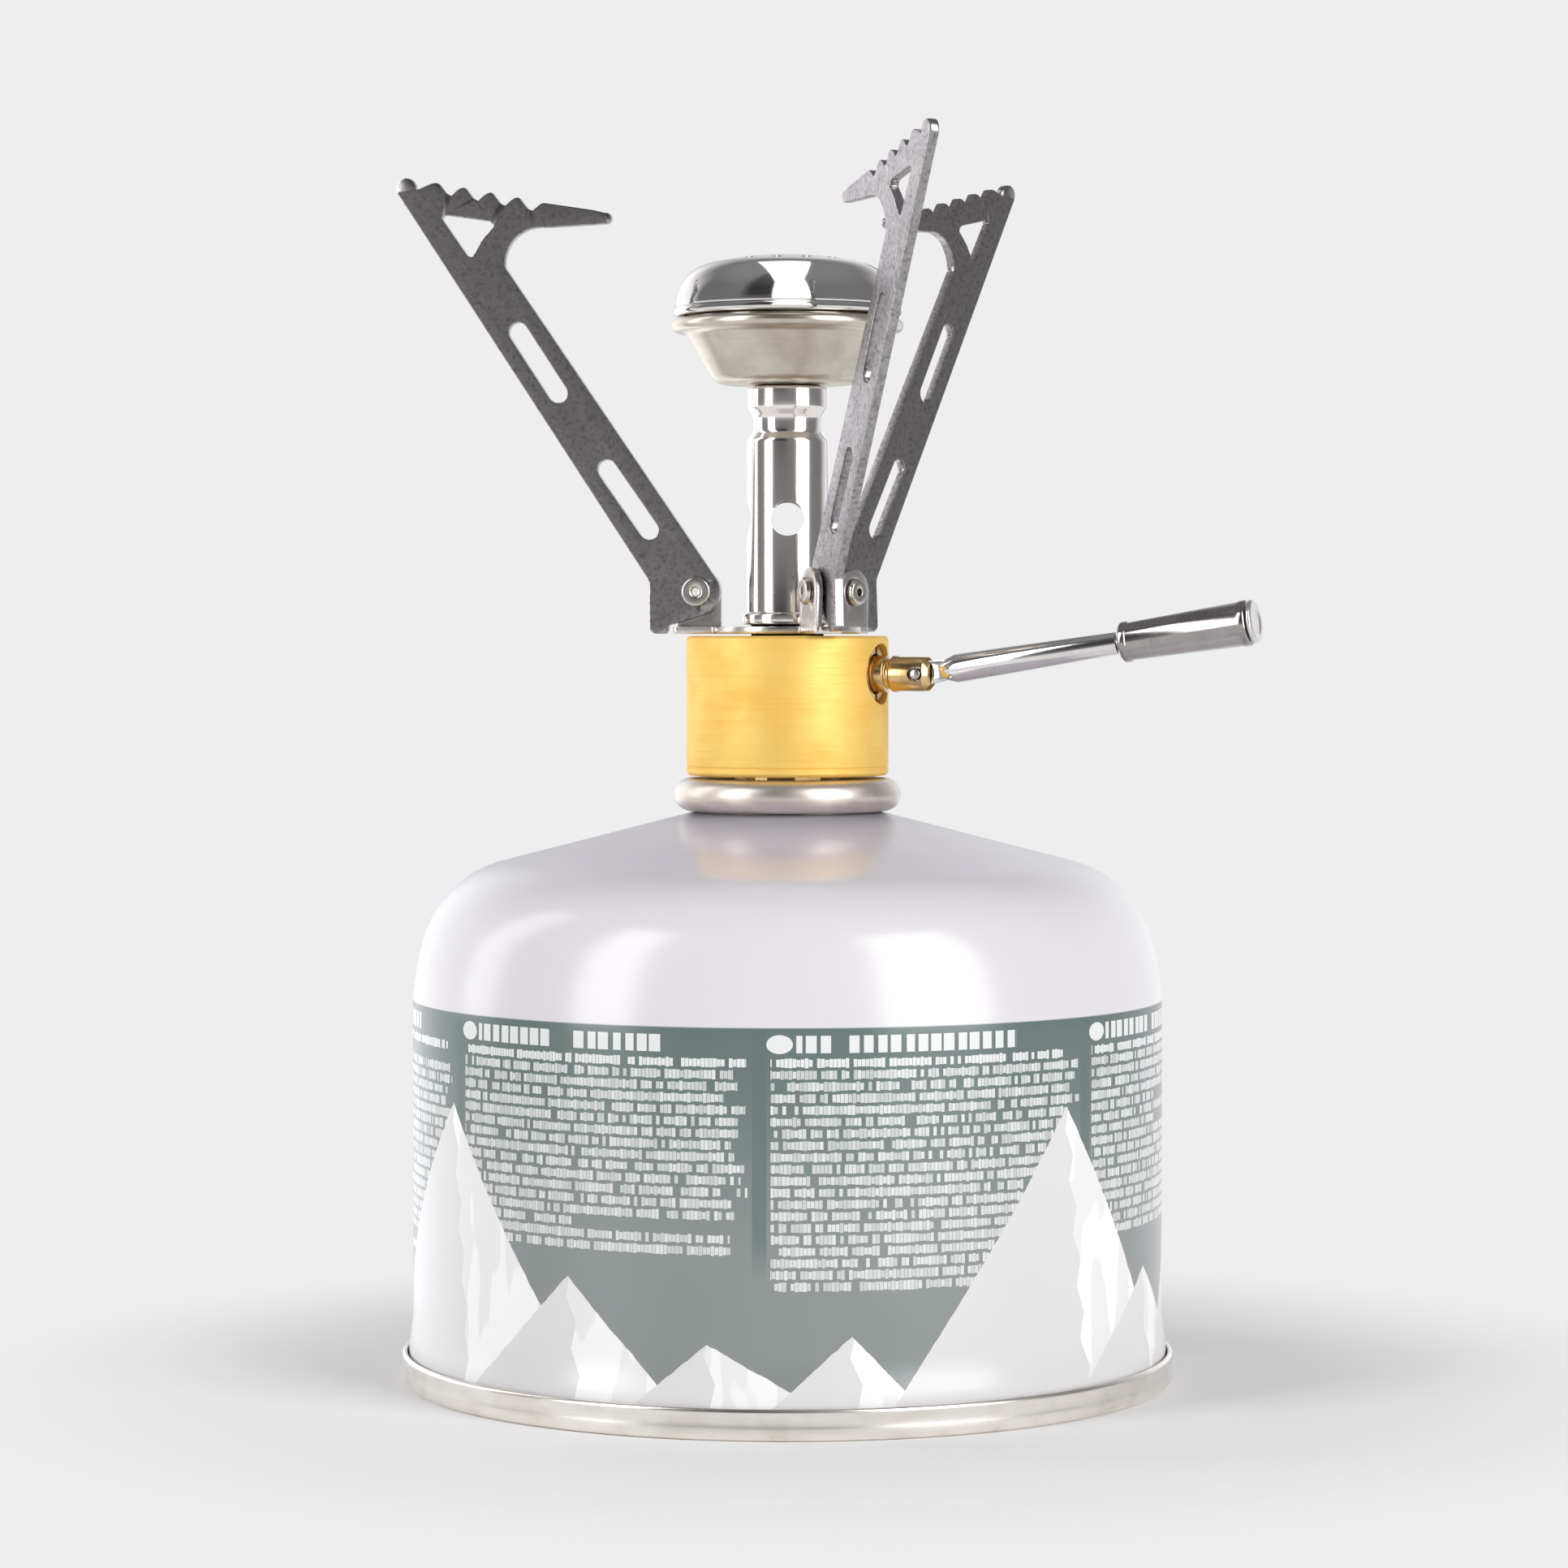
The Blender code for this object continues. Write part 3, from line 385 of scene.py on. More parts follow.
@dataclass(frozen=True)
class PrintedPaint:
    """Pale semi-gloss paint, painted darker on the cone as painted shade, with a grey-green printed band of
    mountains under columns of greeked text.

    Sizes and heights are millimetres, angles degrees round the can from the side that the camera sees.
    """

    axis: float
    facing: float = FRONT
    name: str = "printed_can_paint"
    ground: Colour = (0.745, 0.725, 0.75)
    # Painted shade: darker lavender paint over the upward-facing cone stands in for the dimmer light from
    # above
    neck: Colour = (0.60, 0.58, 0.66)
    cone_shade_fade: Point = (69.0, 77.0)
    band_dark: Colour = (0.112, 0.162, 0.154)
    band_light: Colour = (0.262, 0.29, 0.284)
    band_fade: Point = (52.0, 22.0)
    ink: Colour = (0.78, 0.80, 0.79)
    snow: Colour = (0.95, 0.95, 0.95)
    shade: Colour = (0.75, 0.742, 0.748)
    band_top: float = 54.6
    band_edge: float = 0.12
    panel: float = 52.96
    panel_start: float = -4.0
    panel_mm: float = 49.5
    printed: Point = (-162.2, 154.2)
    gutter: float = 0.95
    margin: float = 1.5
    first_row: float = 50.75
    last_row: float = 19.5
    odd_rows: float = 3.0
    pitch: float = 1.56
    mark_mm: float = 0.54
    ragged: float = 4.0
    cut_short: float = 22.0
    block_mm: float = 1.9
    heading: Point = (51.3, 53.6)
    heading_mm: Point = (4.9, 36.4)
    oval: Point = (2.7, 52.45)
    oval_half: Point = (1.75, 1.25)
    fold: float = 3.6
    roughness: float = 0.2
    ior: float = 1.6

    def mix(self) -> bpy.types.Material:
        """Make the material.

        Returns:
            Paint, print and painted shade on the cone in one material.
        """
        made, bench = new_material(self.name)
        east, north, height = bench.split(bench.place(centre=self.axis))
        turn = math.radians(-self.facing)
        along = east * math.cos(turn) - north * math.sin(turn)
        across = east * math.sin(turn) + north * math.cos(turn)
        angle = bench.math("ARCTAN2", across, along) * math.degrees(1.0)
        printed = self._mountains(bench, self._band(bench, angle, height), angle, height)
        edge = height.ramp(self.band_top - self.band_edge, self.band_top + self.band_edge)
        # Painted shade: the paint darkens towards the cone at the top of the can
        crown = bench.blend(height.ramp(*self.cone_shade_fade), self.ground, self.neck)
        colour = bench.blend(edge, printed, crown)
        peel = bench.noise(bench.place(), 0.35, 1.0)
        rough = self.roughness + (peel - 0.5) * 0.05 + (1.0 - edge) * 0.04
        bench.coat({"Base Color": colour, "Roughness": rough, "IOR": self.ior,
                    "Normal": bench.bump(peel, 0.05, 0.03)})
        return made

    def _band(self, bench: Bench, angle: Signal, height: Signal) -> Signal:
        """Grey-green ground with its panels' lines, headings and rows of greeked text.

        Args:
            bench: The material's bench.
            angle: Degrees round the can.
            height: Millimetres above the ground.

        Returns:
            The band's colour.
        """
        place = (angle - self.panel_start) / self.panel
        panel = place.floor()
        across = (place - panel) * self.panel_mm
        cloud = bench.noise(bench.place(), 0.08, 2.0)
        light = height.ramp(*self.band_fade) * 0.85 + cloud * 0.15
        ground = bench.blend(light, self.band_dark, self.band_light)
        gutter = 1.0 - across.between(self.gutter, self.panel_mm - self.gutter)
        ground = bench.blend(gutter * height.ramp(20.0, 28.0) * 0.7, ground, self.band_dark)
        ink = self._rows(bench, panel, across, height) + self._heading(bench, panel, across, height)
        return bench.blend(bench.math("MINIMUM", ink, 1.0) * angle.between(*self.printed), ground, self.ink)

    def _rows(self, bench: Bench, panel: Signal, across: Signal, height: Signal) -> Signal:
        """How much ink the rows of small text have: runs of short marks with gaps, uneven at the right.

        Args:
            bench: The material's bench.
            panel: Number of the panel.
            across: Millimetres from the panel's left edge.
            height: Millimetres above the ground.

        Returns:
            Ink from 0 to 1.
        """
        line = (self.first_row - height) / self.pitch
        row = line.floor()
        within = abs(line - row - 0.5)
        seed = row + panel * 61.0
        slide, short, _ = bench.dice(seed, 3.0)
        count = (across + slide * 5.0) / self.mark_mm
        cell = count.floor()
        inside = count - cell
        gap, tall, fill = bench.dice(cell, seed)
        mark = (within < 0.29 + tall * 0.13) * (gap > 0.14) * (inside > 0.1)
        end = self.panel_mm - 1.2 - short * self.ragged - (short > 0.9) * self.cut_short
        odd = abs(panel * 0.5 - (panel * 0.5).floor()) * 2.0
        box = across.between(self.margin, end) * row.between(-0.5, self.last_row - odd * self.odd_rows)
        return mark * box * (0.6 + fill * 0.35 + (row < 0.5) * 0.25)

    def _heading(self, bench: Bench, panel: Signal, across: Signal, height: Signal) -> Signal:
        """Ink of a panel's heading: an oval mark, then plain blocks of uneven width.

        Args:
            bench: The material's bench.
            panel: Number of the panel.
            across: Millimetres from the panel's left edge.
            height: Millimetres above the ground.

        Returns:
            Ink from 0 to 1.
        """
        count = across / self.block_mm
        cell = count.floor()
        inside = count - cell
        gap, narrow, _ = bench.dice(cell, panel + 17.0)
        block = (inside > 0.12 + narrow * 0.3) * (gap > 0.12)
        blocks = block * across.between(*self.heading_mm) * height.between(*self.heading)
        over = (across - self.oval[0]) / self.oval_half[0]
        up = (height - self.oval[1]) / self.oval_half[1]
        oval = (over * over + up * up) < 1.0
        return blocks + oval

    def _mountains(self, bench: Bench, colour: Signal, angle: Signal, height: Signal) -> Signal:
        """Lay the printed mountains over the band, each with a shaded and a lit face.

        Args:
            bench: The material's bench.
            colour: The band's colour.
            angle: Degrees round the can.
            height: Millimetres above the ground.

        Returns:
            The band with its mountains.
        """
        ragged = bench.noise(bench.place(), 0.45, 3.0) - 0.5
        zigzag = bench.math("PINGPONG", height, self.fold) - self.fold / 2
        shards = bench.noise(bench.place((0.22, 0.22, 0.05)), 1.0, 1.0).ramp(0.47, 0.5)
        for peak in PEAKS:
            lean = angle - peak.at
            slope = bench.math("MAXIMUM", lean * -peak.left, lean * peak.right)
            below = peak.top - height
            inside = (slope + ragged * 0.7) < below
            fold = lean + zigzag * 0.35 - below * 0.12
            face = bench.blend((fold > 0.0) * (1.0 - shards * 0.5), self.shade, self.snow)
            colour = bench.blend(inside, colour, face)
        return colour


def add_object(name: str, data: bpy.types.ID) -> bpy.types.Object:
    """Put an object with this data in the scene.

    Args:
        name: Its name.
        data: Its mesh, light or camera.

    Returns:
        The object.
    """
    made = bpy.data.objects.new(name, data)
    bpy.context.scene.collection.objects.link(made)
    return made


def middle_of(item: Union[bmesh.types.BMVert, bmesh.types.BMEdge, bmesh.types.BMFace]) -> tuple[float, ...]:
    """Middle of a vertex, edge or face, rounded so that it can be put in order."""
    points = [item.co] if isinstance(item, bmesh.types.BMVert) else [vert.co for vert in item.verts]
    return tuple(round(sum(point[axis] for point in points) / len(points), 4) for axis in range(3))


class Solid:
    """A mesh being shaped, in millimetres from the stove's upright axis."""

    def __init__(self, bm: Optional[bmesh.types.BMesh] = None) -> None:
        """Start empty, or with a mesh that is there."""
        self.bm = bm or bmesh.new()

    @classmethod
    def turned(cls, profile: list[Point], soften: float = 0.15, steps: int = 96) -> "Solid":
        """Spin a profile of (radius, height) about the upright axis.

        Args:
            profile: A loop, or a line that starts and ends on the axis.
            soften: How far the corners are rounded.
            steps: Facets round the axis.

        Returns:
            The turned solid.
        """
        made = cls()
        bm = made.bm
        points = [bm.verts.new((radius, 0.0, height)) for radius, height in profile]
        for pair in zip(points, points[1:]):
            bm.edges.new(pair)
        if profile[0][0] > TINY or profile[-1][0] > TINY:
            bm.edges.new((points[-1], points[0]))
        if soften:
            made._round([point for point in points if point.co.x > TINY], soften)
        bmesh.ops.spin(bm, geom=bm.verts[:] + bm.edges[:], cent=(0, 0, 0), axis=(0, 0, 1), dvec=(0, 0, 0),
                       angle=math.tau, steps=steps, use_merge=True)
        return made.tidy()

    def _round(self, points: list[bmesh.types.BMVert], soften: float) -> None:
        """Round the sharp corners of a wire outline, no further than its short edges allow.

        Args:
            points: Its corners.
            soften: How far they are rounded at most.
        """
        for point in points:
            ways = [edge.other_vert(point).co - point.co for edge in point.link_edges]
            if math.pi - ways[0].angle(ways[1]) < CORNER:
                continue
            reach = min(soften, REACH * min(way.length for way in ways))
            bmesh.ops.bevel(self.bm, geom=[point], offset=reach, offset_type="OFFSET", segments=3,
                            profile=0.5, affect="VERTICES", clamp_overlap=False, material=-1)

    @classmethod
    def plate(cls, outlines: list[list[Point]], thickness: float, upright: bool, soften: float = 0.0,
              edge: float = 0.0) -> "Solid":
        """Fill an outline with holes and give it a thickness.

        Args:
            outlines: The outline, then its holes.
            thickness: Thickness of the plate.
            upright: In XZ and centred on Y if true, else in XY and up from the ground.
            soften: How far the outline's corners are rounded in plan.
            edge: Bevel along both rims.

        Returns:
            The plate.
        """
        made = cls()
        bm = made.bm
        for outline in outlines:
            points = [bm.verts.new((x, 0.0, y) if upright else (x, y, 0.0)) for x, y in outline]
            for pair in zip(points, points[1:] + points[:1]):
                bm.edges.new(pair)
            if soften:
                made._round(points, soften)
        bmesh.ops.triangle_fill(bm, use_beauty=True, use_dissolve=False, edges=bm.edges[:])
        grown = bmesh.ops.extrude_face_region(bm, geom=bm.faces[:])
        moved = [item for item in grown["geom"] if isinstance(item, bmesh.types.BMVert)]
        bmesh.ops.translate(bm, vec=(0, thickness, 0) if upright else (0, 0, thickness), verts=moved)
        if upright:
            bmesh.ops.translate(bm, vec=(0, -thickness / 2, 0), verts=bm.verts)
        made.tidy()
        if edge:
            through = 1 if upright else 2
            rims = [one for one in bm.edges if one.is_manifold and one.calc_face_angle(0.0) > RIM
                    and abs((one.verts[0].co - one.verts[1].co)[through]) < TINY]
            bmesh.ops.bevel(bm, geom=rims, offset=edge, offset_type="OFFSET", segments=2, profile=0.5,
                            affect="EDGES", clamp_overlap=False, material=-1)
        return made

    @classmethod
    def rod(cls, radius: float, length: float, steps: int = 32) -> "Solid":
        """Plain round cutter about the upright axis, centred on the ground."""
        half = length / 2
        return cls.turned([(0, -half), (radius, -half), (radius, half), (0, half)], 0.0, steps)

    @classmethod
    def block(cls, length: float, width: float, height: float) -> "Solid":
        """Plain square cutter centred on the origin.

        Args:
            length: Size along X.
            width: Size along Y.
            height: Size along Z.

        Returns:
            The cutter.
        """
        made = cls()
        bmesh.ops.create_cube(made.bm, size=1.0, matrix=Matrix.Diagonal((length, width, height, 1.0)))
        return made

    def tidy(self) -> "Solid":
        """Merge doubles, point every face outward, and order everything by place so that each run agrees.

        Returns:
            This solid.
        """
        bm = self.bm
        bmesh.ops.remove_doubles(bm, verts=bm.verts, dist=WELD)
        bmesh.ops.recalc_face_normals(bm, faces=bm.faces)
        for items in (bm.verts, bm.edges, bm.faces):
            ranked = sorted(items, key=middle_of)
            rank = {item: float(number) for number, item in enumerate(ranked)}
            items.sort(key=rank.get)
            items.index_update()
        return self

    def laid(self) -> "Solid":
        """Turn so that the upright axis runs along +X."""
        return self.moved(turned_by(90, "Y"))

    def moved(self, way: Matrix) -> "Solid":
        """Move by a matrix in millimetres."""
        bmesh.ops.transform(self.bm, matrix=way, verts=self.bm.verts)
        return self

    def mesh(self, name: str) -> bpy.types.Mesh:
        """Write the faces to a new mesh, which uses this solid up.

        Args:
            name: The mesh's name.

        Returns:
            The mesh.
        """
        made = bpy.data.meshes.new(name)
        self.bm.to_mesh(made)
        self.bm.free()
        return made

    def join(self, other: "Solid") -> "Solid":
        """Add another solid's faces without cutting.

        Args:
            other: The other solid, which is used up.

        Returns:
            This solid, changed.
        """
        mesh = other.mesh("joined")
        self.bm.from_mesh(mesh)
        bpy.data.meshes.remove(mesh)
        return self

    def carve(self, tool: "Solid", how: str = "DIFFERENCE") -> "Solid":
        """Cut with or weld to another solid.

        Args:
            tool: The other solid, which is used up.
            how: Boolean operation.

        Returns:
            This solid, changed.
        """
        things = [add_object("work", solid.mesh("work")) for solid in (self, tool)]
        change = things[0].modifiers.new("cut", "BOOLEAN")
        change.operation = how
        change.solver = "EXACT"
        change.object = things[1]
        graph = bpy.context.evaluated_depsgraph_get()
        result = bpy.data.meshes.new_from_object(things[0].evaluated_get(graph))
        self.bm = bmesh.new()
        self.bm.from_mesh(result)
        for thing in things:
            mesh = thing.data
            bpy.data.objects.remove(thing)
            bpy.data.meshes.remove(mesh)
        bpy.data.meshes.remove(result)
        return self.tidy()


@dataclass(frozen=True)
class Workshop:
    """Turns finished solids into pieces of the model and reports them."""

    axis: float

    def deliver(self, solid: Solid, name: str, material: bpy.types.Material, slot: Slot, body: Body,
                *stands_for: str, crisp: bool = False) -> bpy.types.Object:
        """Make a piece from a solid.

        Args:
            solid: The shape, which is used up.
            name: Name of the piece.
            material: Its finish.
            slot: The record's slot of that finish; not used.
            body: The body that it rides on.
            stands_for: CAD nodes that it replaces.
            crisp: Whether its flat faces keep straight normals beside their bevels.

        Returns:
            The piece.
        """
        mesh = solid.moved(shifted(self.axis * MM) @ Matrix.Scale(MM, 4)).mesh(name)
        mesh.shade_smooth()
        mesh.set_sharp_from_angle(angle=SHARP)
        mesh.materials.append(material)
        piece = add_object(name, mesh)
        if crisp:
            weighted = piece.modifiers.new("flat faces", "WEIGHTED_NORMAL")
            weighted.keep_sharp = True
        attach(piece, body.value)
        if stands_for:
            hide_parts(*stands_for)
        LOG.info("%s: %d faces, rides on %s", name, len(mesh.polygons), body.value)
        return piece

    @staticmethod
    def dress(material: bpy.types.Material, *nodes: str) -> None:
        """Give carried-over CAD nodes a material.

        Args:
            material: The material.
            nodes: Names of the nodes.
        """
        for node in nodes:
            for slot in frame["nodes"][node].material_slots:
                slot.material = material
            LOG.info("%s: keeps its mesh, dressed in %s", node, material.name)


def shifted(x: float = 0.0, y: float = 0.0, z: float = 0.0) -> Matrix:
    """Move along the axes."""
    return Matrix.Translation((x, y, z))


def turned_by(degrees: float, axis: str) -> Matrix:
    """Turn about an axis."""
    return Matrix.Rotation(math.radians(degrees), 4, axis)


def bow(centre: Point, radius: float, start: float, end: float, steps: int) -> list[Point]:
    """Points of an arc in a number of pieces, both ends included, from one angle in degrees to another."""
    angles = [math.radians(start + (end - start) * step / steps) for step in range(steps + 1)]
    return [(centre[0] + radius * math.cos(angle), centre[1] + radius * math.sin(angle)) for angle in angles]


def ring(radius: float, steps: int) -> list[Point]:
    """Outline of a round hole about the origin."""
    return bow((0, 0), radius, 0, 360, steps)[:-1]


def stepped(start: float, *levels: Point) -> list[Point]:
    """Side of round steps on one another, each with its radius and the height where it ends.

    Args:
        start: Height where the first step starts.
        levels: Radius and end of each step.

    Returns:
        The points of a profile.
    """
    points = []
    for radius, end in levels:
        points += [(radius, start), (radius, end)]
        start = end
    return points


def stadium(start: Point, end: Point, half: float) -> list[Point]:
    """Outline of a round-ended slot between the centres of its ends, with half its width given."""
    lean = math.degrees(math.atan2(end[1] - start[1], end[0] - start[0]))
    return bow(start, half, lean + 90, lean + 270, 12) + bow(end, half, lean - 90, lean + 90, 12)


def height_of(node: str, top: bool = False) -> float:
    """Lowest or highest point of a CAD node, in millimetres."""
    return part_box(node)[1 if top else 0].z * PER_METRE


def joint(name: str) -> dict:
    """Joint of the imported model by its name."""
    return next(item for item in frame["joints"] if item["name"] == name)


@dataclass
class Cartridge:
    """Painted can, its bottom seam, valve cup and threaded boss."""

    workshop: Workshop
    seam_r: float = 55.2
    seam_h: float = 4.4
    seam_wall: float = 0.7
    seam_top_r: float = 0.55
    seam_foot_r: float = 0.75
    groove_z: float = 1.4
    wall_r: float = 53.6
    hem: tuple[Point, ...] = ((0.0, 1.7), (0.0, 5.2), (0.12, 6.2), (0.34, 7.6), (0.53, 9.2))
    hem_top: float = 11.0
    sheet: float = 0.6
    gap: float = 0.3
    shoulder_z: float = 52.6
    shoulder_r: float = 36.8
    sweep: float = 18.0
    knuckle_r: float = 15.2
    slope: float = 14.5
    mouth_r: float = 13.2
    base_rise: float = 7.4
    base_ring: Point = (2.5, 1.2)
    curl_r: float = 13.9
    curl_section: float = 2.35
    cup_wall_r: float = 12.6
    cup_hole_r: float = 4.9
    boss_r: float = 5.55
    boss_foot_r: float = 4.6
    pocket_r: float = 3.3
    pocket_depth: float = 2.3
    seat_r: float = 2.3
    boss_floor: float = 1.0
    outlet_r: float = 1.2
    thread_pitch: float = 0.907
    thread_depth: float = 0.42
    thread_crest: float = 0.08
    thread_steps: int = 40

    def build(self) -> None:
        """Make every piece of the cartridge."""
        self._shell()
        self._seam()
        self._cup()
        self._boss()
        tin = MetalFinish("valve_tin", (0.55, 0.52, 0.48), (0.42, 0.39, 0.36), 0.36, grain=Grain.ROUND_Z)
        drawn = MetalFinish("drawn_steel", (0.52, 0.51, 0.50), (0.36, 0.35, 0.34), 0.32, grain=Grain.TUMBLED)
        self.workshop.dress(tin.mix(), "cartridge_valve_pin")
        self.workshop.dress(drawn.mix(), "cartridge_valve_spring")
        self.workshop.dress(RubberFinish().mix(), "cartridge_valve_gasket")

    def _dome(self, inset: float, steps: int) -> list[Point]:
        """Dome from the straight wall to the mouth, set in by a sheet's thickness.

        Args:
            inset: How far it is set in.
            steps: Number of pieces of the wide curve; the tight one has twice as many.

        Returns:
            The points, from the wall up.
        """
        sweep = math.radians(self.sweep)
        lean = math.radians(self.slope)
        hub_r = self.wall_r - self.shoulder_r
        start = (hub_r + self.shoulder_r * math.cos(sweep),
                 self.shoulder_z + self.shoulder_r * math.sin(sweep))
        centre = (start[0] - self.knuckle_r * math.cos(sweep), start[1] - self.knuckle_r * math.sin(sweep))
        cone = (centre[0] + self.knuckle_r * math.sin(lean), centre[1] + self.knuckle_r * math.cos(lean))
        mouth_z = cone[1] + (cone[0] - self.mouth_r) * math.tan(lean)
        wide = bow((hub_r, self.shoulder_z), self.shoulder_r - inset, 0, self.sweep, steps)
        tight = bow(centre, self.knuckle_r - inset, self.sweep, 90 - self.slope, 2 * steps)
        return wide + tight[1:] + [(self.mouth_r, mouth_z - inset / math.cos(lean))]

    def _shell(self) -> None:
        """Drawn can with its shoulder, cone and printed band."""
        hem_r = self.seam_r - self.seam_wall - self.gap
        hem = [(hem_r - inward, height) for inward, height in self.hem] + [(self.wall_r, self.hem_top)]
        inside = [(radius - self.sheet, height) for radius, height in reversed(hem)]
        profile = hem + self._dome(0.0, 14) + self._dome(self.sheet, 10)[::-1] + inside
        can = Solid.turned(profile, 0.15, 192)
        self.workshop.deliver(can, "printed_can", PrintedPaint(self.workshop.axis).mix(), Slot.PAINT,
                              Body.CARTRIDGE, "cartridge_shell")

    def _seam(self) -> None:
        """Rolled double seam and the domed bottom with its pressed ring."""
        wall_in = self.seam_r - self.seam_wall
        inner_r = self.seam_r - self.seam_wall - 2 * self.gap - self.sheet
        chime_in = inner_r - self.sheet
        lift = self.seam_h + self.sheet
        ring_width, ring_height = self.base_ring
        dish_r = chime_in - ring_width
        start = math.degrees(math.atan2(self.base_rise, dish_r))
        bowl = (dish_r ** 2 + self.base_rise ** 2) / (2 * self.base_rise)
        under = bow((0, lift + ring_height + self.base_rise - bowl), bowl, 90 - 2 * start, 90, 28)
        above = [(radius, height + self.sheet) for radius, height in reversed(under)]
        top_r = self.seam_top_r
        foot_r = self.seam_foot_r
        top = bow((self.seam_r - top_r, self.seam_h - top_r), top_r, 0, 75, 6)
        rim = [(wall_in, self.seam_h - 0.1)]
        chime = [(wall_in, self.groove_z), (inner_r, self.groove_z), (inner_r, lift)]
        foot = [(chime_in, lift - self.sheet), (chime_in, 0.5)]
        foot += bow((self.seam_r - foot_r, foot_r), foot_r, -90, -10, 8)
        side = [(self.seam_r - 0.1, 1.9), (self.seam_r - 0.16, 2.7), (self.seam_r - 0.02, self.seam_h - 0.8)]
        profile = above + chime[::-1] + rim + top[::-1] + side[::-1] + foot[::-1] + under
        tin = MetalFinish("rolled_tinplate", (0.95, 0.91, 0.86), (0.82, 0.76, 0.70), 0.25, 0.12,
                          Grain.ROUND_Z, 0.2, 0.03, 0.2)
        self.workshop.deliver(Solid.turned(profile, 0.12, 192), "bottom_seam", tin.mix(), Slot.TINPLATE,
                              Body.CARTRIDGE, "cartridge_base")

    def _cup(self) -> None:
        """Valve cup curled round the can's mouth."""
        bottom = height_of("cartridge_valve_cup")
        curl_z = height_of("cartridge_valve_cup", True) - self.curl_section
        floor_z = bottom + self.sheet
        low = -math.degrees(math.acos((self.curl_r - self.cup_wall_r) / self.curl_section))
        bead = bow((self.curl_r, curl_z), self.curl_section, -180 - low, 205, 40)
        wall_r = self.cup_wall_r
        wall_in = wall_r - self.sheet
        cup = [(self.cup_hole_r, bottom), (wall_r - 0.4, bottom), (wall_r, floor_z - 0.2)] + bead
        cup += [(wall_in, curl_z - 1.7), (wall_in, floor_z + 0.2), (wall_in - 0.2, floor_z),
                (self.cup_hole_r, floor_z)]
        satin = MetalFinish("satin_tinplate", (0.80, 0.735, 0.675), (0.64, 0.57, 0.51), 0.38, 0.1,
                            Grain.ROUND_Z, 0.2, 0.03, 0.2)
        self.workshop.deliver(Solid.turned(cup, 0.3, 128), "valve_cup_curl", satin.mix(), Slot.SATIN_TIN,
                              Body.CARTRIDGE, "cartridge_valve_cup")

    def _boss(self) -> None:
        """Boss with its screw thread."""
        bottom = height_of("cartridge_valve_boss")
        top = height_of("cartridge_valve_boss", True)
        root_r = self.boss_r - self.thread_depth
        shoulder_z = height_of("cartridge_valve_cup") + self.sheet + self.gap
        outside = stepped(bottom, (self.boss_foot_r, shoulder_z), (root_r, top))
        inside = stepped(top, (self.pocket_r, top - self.pocket_depth),
                         (self.seat_r, bottom + self.boss_floor), (self.outlet_r, bottom))
        boss = Solid.turned(outside + inside, 0.2, 64)
        ridge = bmesh.new()
        sunk_r = root_r - 0.15
        half = self.thread_depth
        crest = self.thread_crest
        corners = [(sunk_r, -half), (self.boss_r, -crest), (self.boss_r, crest), (sunk_r, half)]
        start_z = shoulder_z + 0.7
        points = [ridge.verts.new((radius, 0.0, start_z + lift)) for radius, lift in corners]
        face = ridge.faces.new(points)
        turns = int((top - start_z - 0.6) / self.thread_pitch)
        bmesh.ops.spin(ridge, geom=[face] + list(face.edges) + points, cent=(0, 0, 0), axis=(0, 0, 1),
                       dvec=(0, 0, self.thread_pitch / self.thread_steps), angle=math.tau * turns,
                       steps=self.thread_steps * turns)
        boss.join(Solid(ridge).tidy())
        tin = MetalFinish("turned_boss", (0.62, 0.58, 0.52), (0.46, 0.42, 0.37), 0.3, grain=Grain.ROUND_Z)
        self.workshop.deliver(boss, "threaded_boss", tin.mix(), Slot.SATIN_TIN, Body.CARTRIDGE,
                              "cartridge_valve_boss")


